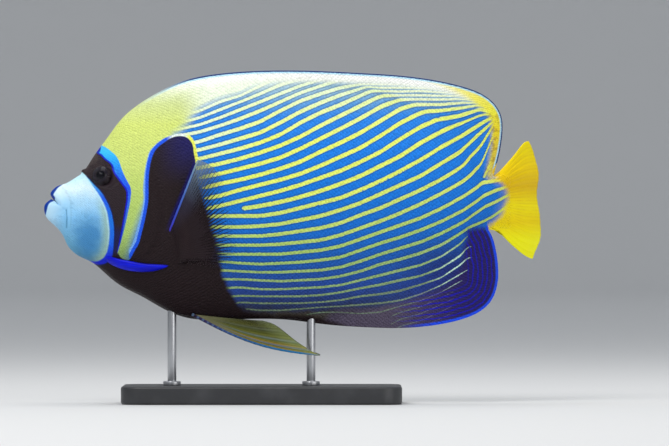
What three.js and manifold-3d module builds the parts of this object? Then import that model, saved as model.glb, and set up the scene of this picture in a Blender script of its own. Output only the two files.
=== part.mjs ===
// Emperor angelfish, life size, as a still museum model on a plain display stand.
// Millimetres, +Z up, head towards -X, left side towards -Y. The origin is the middle of the base's underside.
import * as THREE from "three";
import { mergeVertices } from "three/addons/utils/BufferGeometryUtils.js";
import Module from "manifold-3d";

const { clamp, lerp, smoothstep } = THREE.MathUtils;

const wasm = await Module();
wasm.setup();

// The side view is drawn on a squared sheet: x to the tail, y downwards, GRID millimetres a square.
const GRID = 0.68;
const SHEET_X = 262;
const SHEET_Y = 403;

// Clearance between pieces that touch
const GAP = 0.3;

// How late the stations lean towards their edges, on the body and at the tail's rear edge
const LEAN = 1.8;
const TAIL_LEAN = 4;

// One row for each station along the fish, from the rim of the lips to the rear edge of the tail fin:
// back edge x, y; belly edge x, y; axis x, y on the sheet; half width of the body in millimetres.
const STATIONS = [
  [52.6, 198, 49.6, 200.2, 57, 205.8, 5.2],
  [50.9, 193.6, 45.2, 205, 60.2, 206, 7.6],
  [54, 189, 45.1, 213, 64, 206.4, 8.9],
  [59, 185.6, 48.5, 219.5, 68.5, 206.8, 9.6],
  [66.5, 183.2, 56.5, 227, 75, 207, 11.8],
  [75, 178.2, 63.5, 236, 82, 207, 13.8],
  [83, 172.4, 68.5, 246.5, 90, 207, 15.7],
  [89, 163.8, 79, 256, 98, 207, 17.5],
  [97.3, 151.2, 92, 262.3, 108, 207, 19.5],
  [108, 137, 104, 272.2, 120, 207, 21.6],
  [121, 119.6, 121, 285.8, 134, 207, 23.6],
  [138, 104.8, 142, 296.6, 151, 207, 25.3],
  [160, 91.4, 163, 308.6, 171, 207, 26.6],
  [186, 80.2, 187, 317.8, 193, 207, 27.2],
  [216, 74.2, 214, 319.8, 219, 207, 27.2],
  [250, 71.3, 248, 319, 248, 206.5, 26.5],
  [286, 70.5, 286, 319.6, 280, 206, 24.9],
  [322, 71.2, 324, 324.2, 312, 205.5, 22.6],
  [357, 72.9, 363, 327.1, 343, 205, 19.8],
  [392, 75, 400, 328, 372, 204, 16.8],
  [427, 79, 436, 325, 399, 203.5, 13.9],
  [460, 85.8, 468, 317.4, 423, 203, 11.4],
  [485, 95.4, 488, 305.4, 443, 202.5, 9.6],
  [499.4, 110, 496.8, 289, 457, 202, 8.4],
  [503, 127, 498.6, 270, 467, 201.5, 7.6],
  [501, 146, 496, 250, 474, 201.5, 7],
  [497.4, 162, 491.4, 235, 480, 201.5, 6.4],
  [494.2, 175.6, 488, 227.4, 487, 201.5, 5.7],
  [501.5, 170.2, 498, 231, 496, 201.5, 4.4],
  [511, 160, 508.5, 240.6, 506, 201, 2.9],
  [519.5, 149.6, 519, 250, 517, 201, 1.7],
  [525.6, 142.2, 528, 256.6, 528, 201, 0.9],
  [530, 140.3, 534.4, 259.2, 539, 201, 0.6],
];
const LAST = STATIONS.length - 1;

// Where the body ends and the dorsal or anal fin starts, as a share of the way from the axis to the edge
const DORSAL_FROM = 13;
const DORSAL_BASE = [0.972, 0.958, 0.944, 0.93, 0.91, 0.88, 0.82, 0.76, 0.69, 0.59, 0.52, 0.45, 0.43, 0.6, 1];
const ANAL_FROM = 17;
const ANAL_BASE = [0.955, 0.89, 0.8, 0.72, 0.62, 0.51, 0.44, 0.42, 0.52, 0.74, 1];
const FINS_END = 27;
const FINS_REAR = 26.85;

// How blunt the body's section is at the back and at the belly, by station: 0.5 is round, 1 runs out thin
const BACK_BLUNT = [
  [0, 0.5], [4, 0.52], [8, 0.58], [11, 0.66], [13, 0.8], [16, 0.9], [20, 1], [26, 0.8], [LAST, 0.5],
];
const BELLY_BLUNT = [
  [0, 0.5], [4, 0.55], [8, 0.6], [12, 0.58], [16, 0.62], [18, 0.8], [20, 1], [26, 0.8], [LAST, 0.5],
];
const FIN_ROOT_HALF = 1.5;
const TAIL_ROOT_HALF = 1;
const FIN_EDGE_HALF = 0.32;

// The spine's turn in plan: the tail sweeps away to the right side, the head turns a little to the left
const TAIL_TURN_X = 412;
const TAIL_TURN = 1.9;
const TAIL_TURN_POWER = 1.8;
const TAIL_LENGTH = 128;
const HEAD_TURN_X = 150;
const HEAD_TURN = 0.2;
const HEAD_TURN_POWER = 1.2;
const HEAD_LENGTH = 105;

const EYE = { x: 103, y: 177.4, radius: 8.4, inset: 5.6 };
const GILL_ROW = 11.6;
const TAIL_ROW = 25.5;
const TAIL_FIN_ROW = 28.4;
const LIP_ROW = 3;

const BASE = { length: 190, width: 96, height: 12, corner: 14, bevel: 1.5 };
const ROD = { radius: 3, front: 172, rear: 311, depth: 9 };

// A smooth curve through values at whole steps, flat-ended
function spline(values) {
  const n = values.length;
  const second = new Array(n).fill(0);
  const pull = new Array(n).fill(0);
  for (let i = 1; i < n - 1; i++) {
    const scale = 1 / (4 - pull[i - 1]);
    pull[i] = scale;
    second[i] = scale * (6 * (values[i + 1] - 2 * values[i] + values[i - 1]) - second[i - 1]);
  }
  for (let i = n - 2; i > 0; i--) second[i] -= pull[i] * second[i + 1];
  return (at) => {
    const i = Math.min(Math.max(Math.floor(at), 0), n - 2);
    const b = at - i;
    const a = 1 - b;
    const bend = ((a ** 3 - a) * second[i] + (b ** 3 - b) * second[i + 1]) / 6;
    return a * values[i] + b * values[i + 1] + bend;
  };
}

function straight(pairs) {
  return (at) => {
    const last = pairs.length - 2;
    let i = 0;
    while (i < last && at > pairs[i + 1][0]) i++;
    const [x0, y0] = pairs[i];
    const [x1, y1] = pairs[i + 1];
    const share = clamp((at - x0) / (x1 - x0), 0, 1);
    return y0 + (y1 - y0) * share;
  };
}

const [backX, backY, bellyX, bellyY, axisX, axisY, halfWidth] = STATIONS[0].map((_, column) =>
  spline(STATIONS.map((row) => row[column])),
);
const dorsalBase = spline(DORSAL_BASE);
const analBase = spline(ANAL_BASE);
const backBlunt = straight(BACK_BLUNT);
const bellyBlunt = straight(BELLY_BLUNT);

function finBase(row, back) {
  const from = back ? DORSAL_FROM : ANAL_FROM;
  if (row >= FINS_END) return 1;
  if (row < from) return Math.min(1, (back ? DORSAL_BASE : ANAL_BASE)[0] + 0.1 * (from - row));
  return Math.min(1, (back ? dorsalBase : analBase)(row - from));
}

// The tail fin's rear part: its rounded edge, and how far its lower half waves to the left
function tailShare(row, share) {
  return smoothstep(row, 28, LAST) * Math.sin(Math.PI * Math.min(1, Math.abs(share))) ** 2;
}

function bulge(row, share) {
  return (share < 0 ? 1.2 : 0.4) * tailShare(row, share);
}

function wave(row, share) {
  return (share < 0 ? -2.4 : -0.5) * tailShare(row, share);
}

// Sheet position on a station, share -1 at the belly edge, 0 on the axis and 1 at the back edge
function onSheet(row, share) {
  const edgeX = share < 0 ? bellyX(row) : backX(row);
  const edgeY = share < 0 ? bellyY(row) : backY(row);
  const reach = Math.abs(share);
  const lean = lerp(LEAN, TAIL_LEAN, smoothstep(row, 28, LAST));
  return [
    axisX(row) + (edgeX - axisX(row)) * reach ** lean + bulge(row, share),
    axisY(row) + (edgeY - axisY(row)) * reach,
  ];
}

// Half the thickness of the fish at that place, body and fin together
function halfThick(row, share) {
  const back = share > 0;
  const reach = Math.abs(share);
  if (reach > 0.9999) return 0;
  const base = finBase(row, back);
  const inside = Math.max(0, 1 - (reach / base) ** 2);
  const body = halfWidth(row) * inside ** (back ? backBlunt : bellyBlunt)(row);
  if (row < DORSAL_FROM - 1 || (row < ANAL_FROM - 1 && !back)) return body;
  const rear = (row - FINS_END) / (LAST - FINS_END);
  const root = rear > 0 ? lerp(TAIL_ROOT_HALF, FIN_EDGE_HALF, rear) : FIN_ROOT_HALF;
  const out = base < 1 ? clamp((reach - base) / (1 - base), 0, 1) : 0;
  const grown = clamp(row - (back ? DORSAL_FROM : ANAL_FROM) + 1, 0, 1);
  const fin = grown * lerp(root, FIN_EDGE_HALF, out ** 0.8);
  return Math.hypot(body, fin);
}

function spineTurn(x) {
  if (x > TAIL_TURN_X) return TAIL_TURN * ((x - TAIL_TURN_X) / TAIL_LENGTH) ** TAIL_TURN_POWER;
  if (x < HEAD_TURN_X) return HEAD_TURN * ((HEAD_TURN_X - x) / HEAD_LENGTH) ** HEAD_TURN_POWER;
  return 0;
}

function spineSide(x) {
  if (x > TAIL_TURN_X) return (spineTurn(x) * (x - TAIL_TURN_X)) / (TAIL_TURN_POWER + 1);
  if (x < HEAD_TURN_X) return (-spineTurn(x) * (HEAD_TURN_X - x)) / (HEAD_TURN_POWER + 1);
  return 0;
}

// A place on the sheet, moved sideways off the spine: to the left when aside is negative
function place(x, y, aside) {
  const turn = spineTurn(x);
  const length = Math.hypot(1, turn);
  return new THREE.Vector3(
    (x - SHEET_X) * GRID - (aside * turn) / length,
    spineSide(x) * GRID + aside / length,
    (SHEET_Y - y) * GRID,
  );
}

// The station and share at a place on the sheet, and the half thickness there
function surfaceAt(x, y) {
  let low = 0;
  let high = LAST;
  let share = 0;
  for (let i = 0; i < 40; i++) {
    const row = (low + high) / 2;
    const edge = y < axisY(row) ? backY(row) : bellyY(row);
    share = (y < axisY(row) ? 1 : -1) * Math.min(1, Math.abs((y - axisY(row)) / (edge - axisY(row))));
    if (onSheet(row, share)[0] < x) low = row;
    else high = row;
  }
  return halfThick((low + high) / 2, share);
}

function solid(points, triangles) {
  const loose = new THREE.BufferGeometry().setFromPoints(points);
  loose.setIndex(triangles);
  const joined = mergeVertices(loose, 1e-3);
  const corner = (i) => new THREE.Vector3().fromBufferAttribute(joined.attributes.position, i);
  const index = joined.index.array;
  const kept = [];
  let volume = 0;
  for (let i = 0; i < index.length; i += 3) {
    const [a, b, c] = index.slice(i, i + 3);
    if (a === b || b === c || a === c) continue;
    kept.push(a, b, c);
    volume += corner(a).dot(corner(b).cross(corner(c)));
  }
  if (volume < 0) kept.reverse();
  return new wasm.Manifold(
    new wasm.Mesh({
      numProp: 3,
      vertProperties: joined.attributes.position.array,
      triVerts: new Uint32Array(kept),
    }),
  );
}

// A closed skin over outlines that each run up one side and down the other, with a cap at both ends
function loft(rings) {
  const count = rings[0].length;
  const triangles = [];
  for (let r = 0; r + 1 < rings.length; r++) {
    for (let i = 0; i < count; i++) {
      const a = r * count + i;
      const b = r * count + ((i + 1) % count);
      triangles.push(a, b, b + count, a, b + count, a + count);
    }
  }
  const end = (rings.length - 1) * count;
  for (let i = 0; i + 1 < count / 2; i++) {
    const mate = count - 1 - i;
    triangles.push(i, mate, i + 1, i + 1, mate, mate - 1);
    triangles.push(end + i, end + i + 1, end + mate, end + i + 1, end + mate - 1, end + mate);
  }
  return solid(rings.flat(), triangles);
}

// One outline of a station: up the left side through the shares and down the right side
function outline(row, shares) {
  const up = shares.map((share) => [...onSheet(row, share), wave(row, share), halfThick(row, share)]);
  const left = up.map(([x, y, middle, half]) => place(x, y, middle - half));
  const right = up.map(([x, y, middle, half]) => place(x, y, middle + half));
  return [...left, ...right.reverse()];
}

// Station values from one to another, with the same steps between for all pieces
function rowsBetween(from, to, step) {
  const rows = [from];
  for (let row = Math.ceil(from / step + 0.2) * step; row < to - 0.2 * step; row += step) rows.push(row);
  if (from < FINS_REAR && to > FINS_REAR) rows.push(FINS_REAR);
  return [...rows, to].sort((a, b) => a - b);
}

// Half the clearance as a share of a station's height, and as a part of a station step
function shareGap(row, back) {
  return GAP / 2 / (GRID * Math.abs((back ? backY : bellyY)(row) - axisY(row)));
}

function rowGap(row) {
  return GAP / 2 / (GRID * (axisX(row + 0.5) - axisX(row - 0.5)));
}

const BODY_STEPS = 16;
const FIN_SHARES = [0, 0.45, 0.92, 1];

// Closer together towards the back and the belly
const bodyShares = Array.from({ length: BODY_STEPS + 1 }, (_, i) => {
  const t = (2 * i) / BODY_STEPS - 1;
  return 0.5 * t + 0.5 * Math.sin((t * Math.PI) / 2);
});

// The body from one station to another, without its dorsal and anal fins
function bodyPiece(from, to, step, first = []) {
  const rings = rowsBetween(from + rowGap(from), to - rowGap(to), step).map((row) => {
    const limit = (back) => {
      const base = finBase(row, back);
      return base < 1 ? base - shareGap(row, back) : 1;
    };
    const upper = limit(true);
    const lower = limit(false);
    return outline(row, bodyShares.map((share) => share * (share < 0 ? lower : upper)));
  });
  return loft([...first, ...rings]);
}

// The dorsal or anal fin from its root on the body to its outer edge
function finPiece(back, from, to, step) {
  return loft(
    rowsBetween(from, to, step).map((row) => {
      const root = finBase(row, back) + shareGap(row, back);
      const shares = FIN_SHARES.map((t) => root + (1 - root) * t);
      return outline(row, back ? shares : shares.map((share) => -share));
    }),
  );
}

// A closed plate over a fan of rays: at(t, out) gives [sheet x, sheet y, distance aside, half thickness]
function fan(at, side, rays, steps) {
  const rings = [];
  for (let r = 0; r <= rays; r++) {
    const ray = Array.from({ length: steps + 1 }, (_, s) => at(r / rays, s / steps));
    const outer = ray.map(([x, y, aside, half]) => place(x, y, side * (aside + half)));
    const inner = ray.map(([x, y, aside, half]) => place(x, y, side * (aside - half)));
    rings.push([...outer, ...inner.reverse()]);
  }
  return loft(rings);
}

function along(line) {
  const xs = spline(line.map((p) => p[0]));
  const ys = spline(line.map((p) => p[1]));
  return (t) => [xs(t * (line.length - 1)), ys(t * (line.length - 1))];
}

// Throat: the lips turn in to a small closed pocket behind the mouth slit
const THROAT = [63, 204.6];
const MOUTH_LINE = [
  [44, 197], [51.1, 199.1], [52.8, 200.5], [55.1, 202.5], [56.4, 204], [57.2, 205.7], [60, 206.4], [75, 206.8],
];
const pocket = [0.25, 0.7].map((open) =>
  outline(0, bodyShares).map((rim, i, all) => {
    const deep = place(THROAT[0], THROAT[1], 0);
    const mate = all[all.length - 1 - i];
    const width = open < 0.5 ? 0.25 : 0.8;
    const middle = rim.clone().add(mate).multiplyScalar(0.5);
    return middle.clone().lerp(rim, width).lerp(deep, 1 - open);
  }),
);

// A thin upright wall along a line on the sheet, to part one piece from another
function wall(line, thick) {
  const normals = line.map((_, i) => {
    const a = line[Math.max(0, i - 1)];
    const b = line[Math.min(line.length - 1, i + 1)];
    const length = Math.hypot(b[0] - a[0], b[1] - a[1]);
    return [-(b[1] - a[1]) / length, (b[0] - a[0]) / length];
  });
  const half = thick / 2 / GRID;
  const edge = (by) => line.map(([x, y], i) => [x + by * normals[i][0], y + by * normals[i][1]]);
  return prism([...edge(half), ...edge(-half).reverse()], -60, 60);
}

// A block over a closed line on the sheet, between two distances along Y
function prism(line, from, to) {
  const corners = line.map(([x, y]) => new THREE.Vector2((x - SHEET_X) * GRID, (SHEET_Y - y) * GRID));
  const block = new THREE.ExtrudeGeometry(new THREE.Shape(corners), { depth: to - from, bevelEnabled: false });
  block.rotateX(Math.PI / 2).translate(0, to, 0);
  return fromGeometry(block);
}

function fromGeometry(geometry) {
  const flat = geometry.index ? geometry.toNonIndexed() : geometry;
  const position = flat.attributes.position;
  const corner = (_, i) => new THREE.Vector3().fromBufferAttribute(position, i);
  const points = Array.from({ length: position.count }, corner);
  return solid(points, points.map((_, i) => i));
}

function ball(centre, radius) {
  return fromGeometry(new THREE.SphereGeometry(radius, 16, 11).translate(...centre));
}

function upright(x, y, radius, from, to) {
  const rod = new THREE.CylinderGeometry(radius, radius, to - from, 20);
  return fromGeometry(rod.rotateX(Math.PI / 2).translate(x, y, (from + to) / 2));
}

const lips = bodyPiece(0, LIP_ROW, 0.5, pocket);
let head = bodyPiece(LIP_ROW, GILL_ROW, 0.6);
let trunk = bodyPiece(GILL_ROW, TAIL_ROW, 0.5);
const tail = bodyPiece(TAIL_ROW, TAIL_FIN_ROW, 0.5);
const tailFin = bodyPiece(TAIL_FIN_ROW, LAST, 0.5);
const dorsalFin = finPiece(true, DORSAL_FROM, FINS_REAR, 0.5);
const analFin = finPiece(false, ANAL_FROM, FINS_REAR, 0.5);

const [lipsUpper, lipsLower] = lips
  .subtract(wall(MOUTH_LINE, GAP))
  .decompose()
  .filter((piece) => piece.volume() > 5)
  .sort((a, b) => b.boundingBox().max[2] - a.boundingBox().max[2]);

// Gill covers: the plate behind the cheek on either side
const COVER = [
  [129, 186], [136, 180], [145, 181], [152, 188], [157, 200], [158, 214], [156, 228], [151, 242], [143, 252],
  [133, 257], [122, 256], [119.5, 248], [122, 236], [125, 222], [127.5, 208], [128.5, 196],
];
const COVER_DEPTH = 13;

function grown(line, by) {
  const middle = line.reduce(([x, y], p) => [x + p[0] / line.length, y + p[1] / line.length], [0, 0]);
  return line.map(([x, y]) => {
    const reach = Math.hypot(x - middle[0], y - middle[1]);
    const scale = 1 + by / GRID / reach;
    return [middle[0] + (x - middle[0]) * scale, middle[1] + (y - middle[1]) * scale];
  });
}

const cover = grown(COVER, GAP);

// Cheek spine: a long flat thorn at the lower corner of the cheek, lying on the skin
const spineLine = along([[106, 258.6], [117, 262.8], [130, 265.8], [145, 267.6], [158, 267.2], [169, 265.6]]);
const spineHeight = spline([3.6, 4.6, 5, 4.3, 3, 0.7]);

function cheekSpine(side) {
  const arc = [-1, -0.55, 0, 0.55, 1];
  return loft(
    Array.from({ length: 13 }, (_, i) => {
      const t = i / 12;
      const [x, y] = spineLine(t);
      const tall = spineHeight(t * 5);
      const thick = 0.35 + 0.5 * tall;
      const row = arc.map((v) => [x, y + v * tall, GAP + surfaceAt(x, y + v * tall), Math.sqrt(1 - v * v)]);
      const outer = row.map(([u, v, skin, round]) => place(u, v, side * (skin + 0.3 + thick * round)));
      const inner = row.map(([u, v, skin]) => place(u, v, side * skin));
      return [...outer, ...inner.reverse()];
    }),
  );
}

// Pectoral fin: a fan of rays from the shoulder, standing off the flank towards its margin
const pectoralMargin = along([[199, 160], [213, 167], [225, 183], [233, 204], [237, 226], [237, 248], [230, 269]]);
const pectoralRoot = along([[170.5, 231], [176, 262]]);
const PECTORAL_SPLAY = 0.15;

function pectoral(side) {
  const at = (t, out) => {
    const [mx, my] = pectoralMargin(t);
    const [rx, ry] = pectoralRoot(t);
    const x = lerp(rx, mx, out);
    const y = lerp(ry, my, out);
    const half = lerp(0.9, 0.3, out);
    const off = PECTORAL_SPLAY * out * GRID * Math.hypot(x - rx, y - ry);
    return [x, y, surfaceAt(x, y) + GAP + 0.25 + half + off, half];
  };
  return fan(at, side, 14, 5);
}

// Pelvic fin: long first rays from the breast back under the belly
const pelvicTips = along([[321, 355], [313, 351.5], [300, 344], [287, 334], [275, 325], [264, 321]]);
const pelvicRoot = along([[192, 314], [206, 316]]);
const pelvicBow = spline([9, 7, 5, 3, 1.5, 0.5]);

function pelvic(side) {
  const at = (t, out) => {
    const [mx, my] = pelvicTips(t);
    const [rx, ry] = pelvicRoot(t);
    const bow = pelvicBow(t * 5) * Math.sin(Math.PI * out);
    const half = lerp(0.9, 0.3, out);
    const start = surfaceAt(rx, ry) + GAP + 0.25 + half;
    const end = lerp(15, 9, t);
    return [lerp(rx, mx, out), lerp(ry, my, out) + bow, lerp(start, end, out), half];
  };
  return fan(at, side, 8, 8);
}

const parts = new Map();

for (const [word, side] of [["left", -1], ["right", 1]]) {
  const span = side < 0 ? [-60, -COVER_DEPTH] : [COVER_DEPTH, 60];
  const room = side < 0 ? [-60, -COVER_DEPTH + GAP] : [COVER_DEPTH - GAP, 60];
  parts.set(`gill_cover_${word}`, head.intersect(prism(COVER, ...span)));
  head = head.subtract(prism(cover, ...room));

  const aside = surfaceAt(EYE.x, EYE.y) - EYE.inset;
  const centre = place(EYE.x, EYE.y, side * aside).toArray();
  parts.set(`eye_${word}`, ball(centre, EYE.radius));
  head = head.subtract(ball(centre, EYE.radius + GAP));

  parts.set(`cheek_spine_${word}`, cheekSpine(side));
  parts.set(`pectoral_fin_${word}`, pectoral(side));
  parts.set(`pelvic_fin_${word}`, pelvic(side));
}

// The stand: a flat base and two rods, each let into the base and into the fish
const shape = new THREE.Shape();
const halfX = BASE.length / 2 - BASE.bevel;
const halfY = BASE.width / 2 - BASE.bevel;
shape.absarc(halfX - BASE.corner, halfY - BASE.corner, BASE.corner, 0, Math.PI / 2);
shape.absarc(BASE.corner - halfX, halfY - BASE.corner, BASE.corner, Math.PI / 2, Math.PI);
shape.absarc(BASE.corner - halfX, BASE.corner - halfY, BASE.corner, Math.PI, 1.5 * Math.PI);
shape.absarc(halfX - BASE.corner, BASE.corner - halfY, BASE.corner, 1.5 * Math.PI, 2 * Math.PI);
const slab = new THREE.ExtrudeGeometry(shape, {
  depth: BASE.height - 2 * BASE.bevel,
  bevelThickness: BASE.bevel,
  bevelSize: BASE.bevel,
  bevelSegments: 1,
  curveSegments: 4,
});
let base = fromGeometry(slab.translate(0, 0, BASE.bevel));

for (const [word, x] of [["front", ROD.front], ["rear", ROD.rear]]) {
  const foothold = [(x - SHEET_X) * GRID, 0];
  const belly = (SHEET_Y - bellyAt(x)) * GRID;
  const foot = BASE.height / 2;
  parts.set(`stand_rod_${word}`, upright(...foothold, ROD.radius, foot, belly + ROD.depth));
  base = base.subtract(upright(...foothold, ROD.radius + GAP, foot - GAP, BASE.height + 5));
  trunk = trunk.subtract(upright(...foothold, ROD.radius + GAP, belly - 5, belly + ROD.depth + GAP));
}
parts.set("stand_base", base);

for (const [name, body] of [
  ["head", head],
  ["upper_jaw", lipsUpper],
  ["lower_jaw", lipsLower],
  ["trunk", trunk],
  ["tail_base", tail],
  ["caudal_fin", tailFin],
  ["dorsal_fin", dorsalFin],
  ["anal_fin", analFin],
]) {
  parts.set(name, body);
}

function bellyAt(x) {
  let low = 0;
  let high = LAST;
  for (let i = 0; i < 40; i++) {
    const row = (low + high) / 2;
    if (bellyX(row) < x) low = row;
    else high = row;
  }
  return bellyY(low);
}

const COLOURS = {
  head: 0xd6d974,
  upper_jaw: 0xbcdcf2,
  lower_jaw: 0x8fbfe6,
  gill_cover: 0x9aa050,
  cheek_spine: 0x1c34e0,
  eye: 0x1d2026,
  trunk: 0x2c7fe0,
  pectoral_fin: 0x3a3040,
  pelvic_fin: 0x8f9a58,
  dorsal_fin: 0xeae6c4,
  anal_fin: 0x28307c,
  tail_base: 0x4a78c0,
  caudal_fin: 0xf4dc1c,
  stand: 0x33363a,
};

const group = new THREE.Group();

for (const [name, body] of parts) {
  const key = Object.keys(COLOURS).find((word) => name.startsWith(word));
  const shell = body.getMesh();
  const geometry = new THREE.BufferGeometry();
  geometry.setAttribute("position", new THREE.BufferAttribute(new Float32Array(shell.vertProperties), 3));
  geometry.setIndex(new THREE.BufferAttribute(new Uint32Array(shell.triVerts), 1));
  geometry.computeVertexNormals();
  const mesh = new THREE.Mesh(geometry, new THREE.MeshStandardMaterial({ color: COLOURS[key], roughness: 0.5 }));
  mesh.name = name;
  group.add(mesh);
}

export default group;
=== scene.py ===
"""Emperor angelfish, life size, as a still museum model on a plain display stand.

The fish is drawn on the squared sheet that its solids come from: x runs to the tail, y runs down, and a
square is GRID metres. Rows run along the fish, from 0 at the rim of the lips to LAST at the tail fin's edge.
A share runs up each row, from -1 at the belly edge, through 0 on the axis, to 1 at the back edge. Bare
numbers that go with x, y or a line are squares, and those that go with a row or a share are rows or shares.
"""
import math

import bpy
import numpy as np
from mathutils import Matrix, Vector


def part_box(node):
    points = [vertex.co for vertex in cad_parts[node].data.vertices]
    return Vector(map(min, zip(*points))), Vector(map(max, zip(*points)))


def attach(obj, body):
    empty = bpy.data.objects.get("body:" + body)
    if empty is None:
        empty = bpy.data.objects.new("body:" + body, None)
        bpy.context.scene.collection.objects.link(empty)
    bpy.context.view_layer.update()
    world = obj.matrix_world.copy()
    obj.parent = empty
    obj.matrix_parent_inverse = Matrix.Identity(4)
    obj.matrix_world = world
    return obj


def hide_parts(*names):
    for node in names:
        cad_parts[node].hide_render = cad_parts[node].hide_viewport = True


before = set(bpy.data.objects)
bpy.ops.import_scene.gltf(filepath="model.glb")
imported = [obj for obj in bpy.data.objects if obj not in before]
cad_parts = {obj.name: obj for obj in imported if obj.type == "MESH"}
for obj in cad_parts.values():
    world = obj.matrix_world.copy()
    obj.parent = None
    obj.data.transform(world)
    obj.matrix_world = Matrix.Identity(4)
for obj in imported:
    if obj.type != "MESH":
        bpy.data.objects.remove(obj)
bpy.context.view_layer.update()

MM = 0.001
GRID = 0.68 * MM
SHEET_X, SHEET_Y = 262, 403
LEFT, RIGHT = -1, 1

# Back edge x, y; belly edge x, y; axis x, y on the sheet; half width of the body in millimetres
STATIONS = [
    (52.6, 198, 51.4, 199.2, 57, 205.8, 5.2), (50.9, 193.6, 45.2, 205, 60.2, 206, 7.6),
    (54, 189, 45.1, 213, 64, 206.4, 8.9), (59, 185.6, 48.5, 219.5, 68.5, 206.8, 9.6),
    (66.5, 183.2, 56.5, 227, 75, 207, 11.8), (75, 178.2, 63.5, 236, 82, 207, 13.8),
    (83, 172.4, 68.5, 246.5, 90, 207, 15.7), (89, 163.8, 79, 256, 98, 207, 17.5),
    (97.3, 151.2, 92, 262.3, 108, 207, 19.5), (108, 137, 104, 272.2, 120, 207, 21.6),
    (121, 119.6, 121, 285.8, 134, 207, 23.6), (138, 104.8, 142, 296.6, 151, 207, 25.3),
    (160, 91.4, 163, 308.6, 171, 207, 26.6), (186, 80.2, 187, 317.8, 193, 207, 27.2),
    (216, 74.2, 214, 319.8, 219, 207, 27.2), (250, 71.3, 248, 319, 248, 206.5, 26.5),
    (286, 70.5, 286, 319.6, 280, 206, 24.9), (322, 71.2, 324, 324.2, 312, 205.5, 22.6),
    (357, 72.9, 363, 327.1, 343, 205, 19.8), (392, 75, 400, 328, 372, 204, 16.8),
    (427, 79, 436, 325, 399, 203.5, 13.9), (460, 85.8, 468, 317.4, 423, 203, 11.4),
    (485, 95.4, 488, 305.4, 443, 202.5, 9.6), (499.4, 110, 496.8, 289, 457, 202, 8.4),
    (503, 127, 498.6, 270, 467, 201.5, 7.6), (501, 146, 496, 250, 474, 201.5, 7),
    (497.4, 162, 491.4, 235, 480, 201.5, 6.4), (494.2, 175.6, 488, 227.4, 487, 201.5, 5.7),
    (501.5, 170.2, 498, 231, 496, 201.5, 4.4), (511, 160, 508.5, 240.6, 506, 201, 2.9),
    (519.5, 149.6, 519, 250, 517, 201, 1.7), (525.6, 142.2, 528, 256.6, 528, 201, 0.9),
    (530, 140.3, 534.4, 259.2, 539, 201, 0.6),
]
LAST = len(STATIONS) - 1
DORSAL_FROM, ANAL_FROM, FINS_END = 13, 17, 27
DORSAL_BASE = [0.972, 0.958, 0.944, 0.93, 0.91, 0.88, 0.82, 0.76, 0.69, 0.59, 0.52, 0.45, 0.43, 0.6, 1]
ANAL_BASE = [0.955, 0.89, 0.8, 0.72, 0.62, 0.51, 0.44, 0.42, 0.52, 0.74, 1]
BACK_BLUNT = ([0, 4, 8, 11, 13, 16, 20, 26, LAST], [0.5, 0.52, 0.58, 0.66, 0.8, 0.9, 1, 0.8, 0.5])
BELLY_BLUNT = ([0, 4, 8, 12, 16, 18, 20, 26, LAST], [0.5, 0.55, 0.6, 0.58, 0.62, 0.8, 1, 0.8, 0.5])
FIN_ROOT_HALF, TAIL_ROOT_HALF, FIN_EDGE_HALF = 1.5, 1, 0.32
LEAN, TAIL_LEAN = 1.8, 4
TAIL_TURN_X, TAIL_TURN, TAIL_TURN_POWER, TAIL_LENGTH = 412, 1.9, 1.8, 128
HEAD_TURN_X, HEAD_TURN, HEAD_TURN_POWER, HEAD_LENGTH = 150, 0.2, 1.2, 105

EYE_X, EYE_Y, EYE_RADIUS, EYE_INSET = 103, 177.4, 8.4, 5.6
PUPIL, IRIS = 0.35, 0.66
THROAT = (63, 204.6)
SKIN_SHARES = 121
rng = np.random.default_rng(7)


# Curves on the sheet

def mix(start, end, share):
    return start + (end - start) * share


def smooth(value, start, end):
    share = np.clip((value - start) / (end - start), 0, 1)
    return share * share * (3 - 2 * share)


def hump(value, middle, width):
    return np.exp(-(((value - middle) / width) ** 2))


def spline(values):
    """A smooth curve through values at whole steps, flat-ended."""
    values = np.array(values, float)
    count = len(values)
    second, pull = np.zeros(count), np.zeros(count)
    for i in range(1, count - 1):
        pull[i] = 1 / (4 - pull[i - 1])
        second[i] = pull[i] * (6 * (values[i + 1] - 2 * values[i] + values[i - 1]) - second[i - 1])
    for i in range(count - 2, 0, -1):
        second[i] -= pull[i] * second[i + 1]

    def at(step):
        step = np.asarray(step, float)
        i = np.clip(np.floor(step).astype(int), 0, count - 2)
        b = step - i
        a = 1 - b
        bend = ((a**3 - a) * second[i] + (b**3 - b) * second[i + 1]) / 6
        return a * values[i] + b * values[i + 1] + bend

    return at


def along(line):
    """A smooth line through places on the sheet, from 0 at the first to 1 at the last."""
    xs, ys = (spline(values) for values in zip(*line))
    steps = len(line) - 1
    return lambda share: (xs(share * steps), ys(share * steps))


def flowing(points, closed=True, steps=4):
    """Many short straight stretches in place of a few long ones, through the same points."""
    p = np.array(points, float)
    if not closed:
        p = np.vstack([2 * p[0] - p[1], p, 2 * p[-1] - p[-2]])
    before, start, end, after = (np.roll(p, shift, axis=0)[:, None] for shift in (1, 0, -1, -2))
    t = (np.arange(steps) / steps)[None, :, None]
    curve = 0.5 * (
        2 * start
        + (end - before) * t
        + (2 * before - 5 * start + 4 * end - after) * t**2
        + (3 * start - before - 3 * end + after) * t**3
    )
    if closed:
        return curve.reshape(-1, 2)
    return np.vstack([curve[1:-2].reshape(-1, 2), p[-2]])


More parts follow.
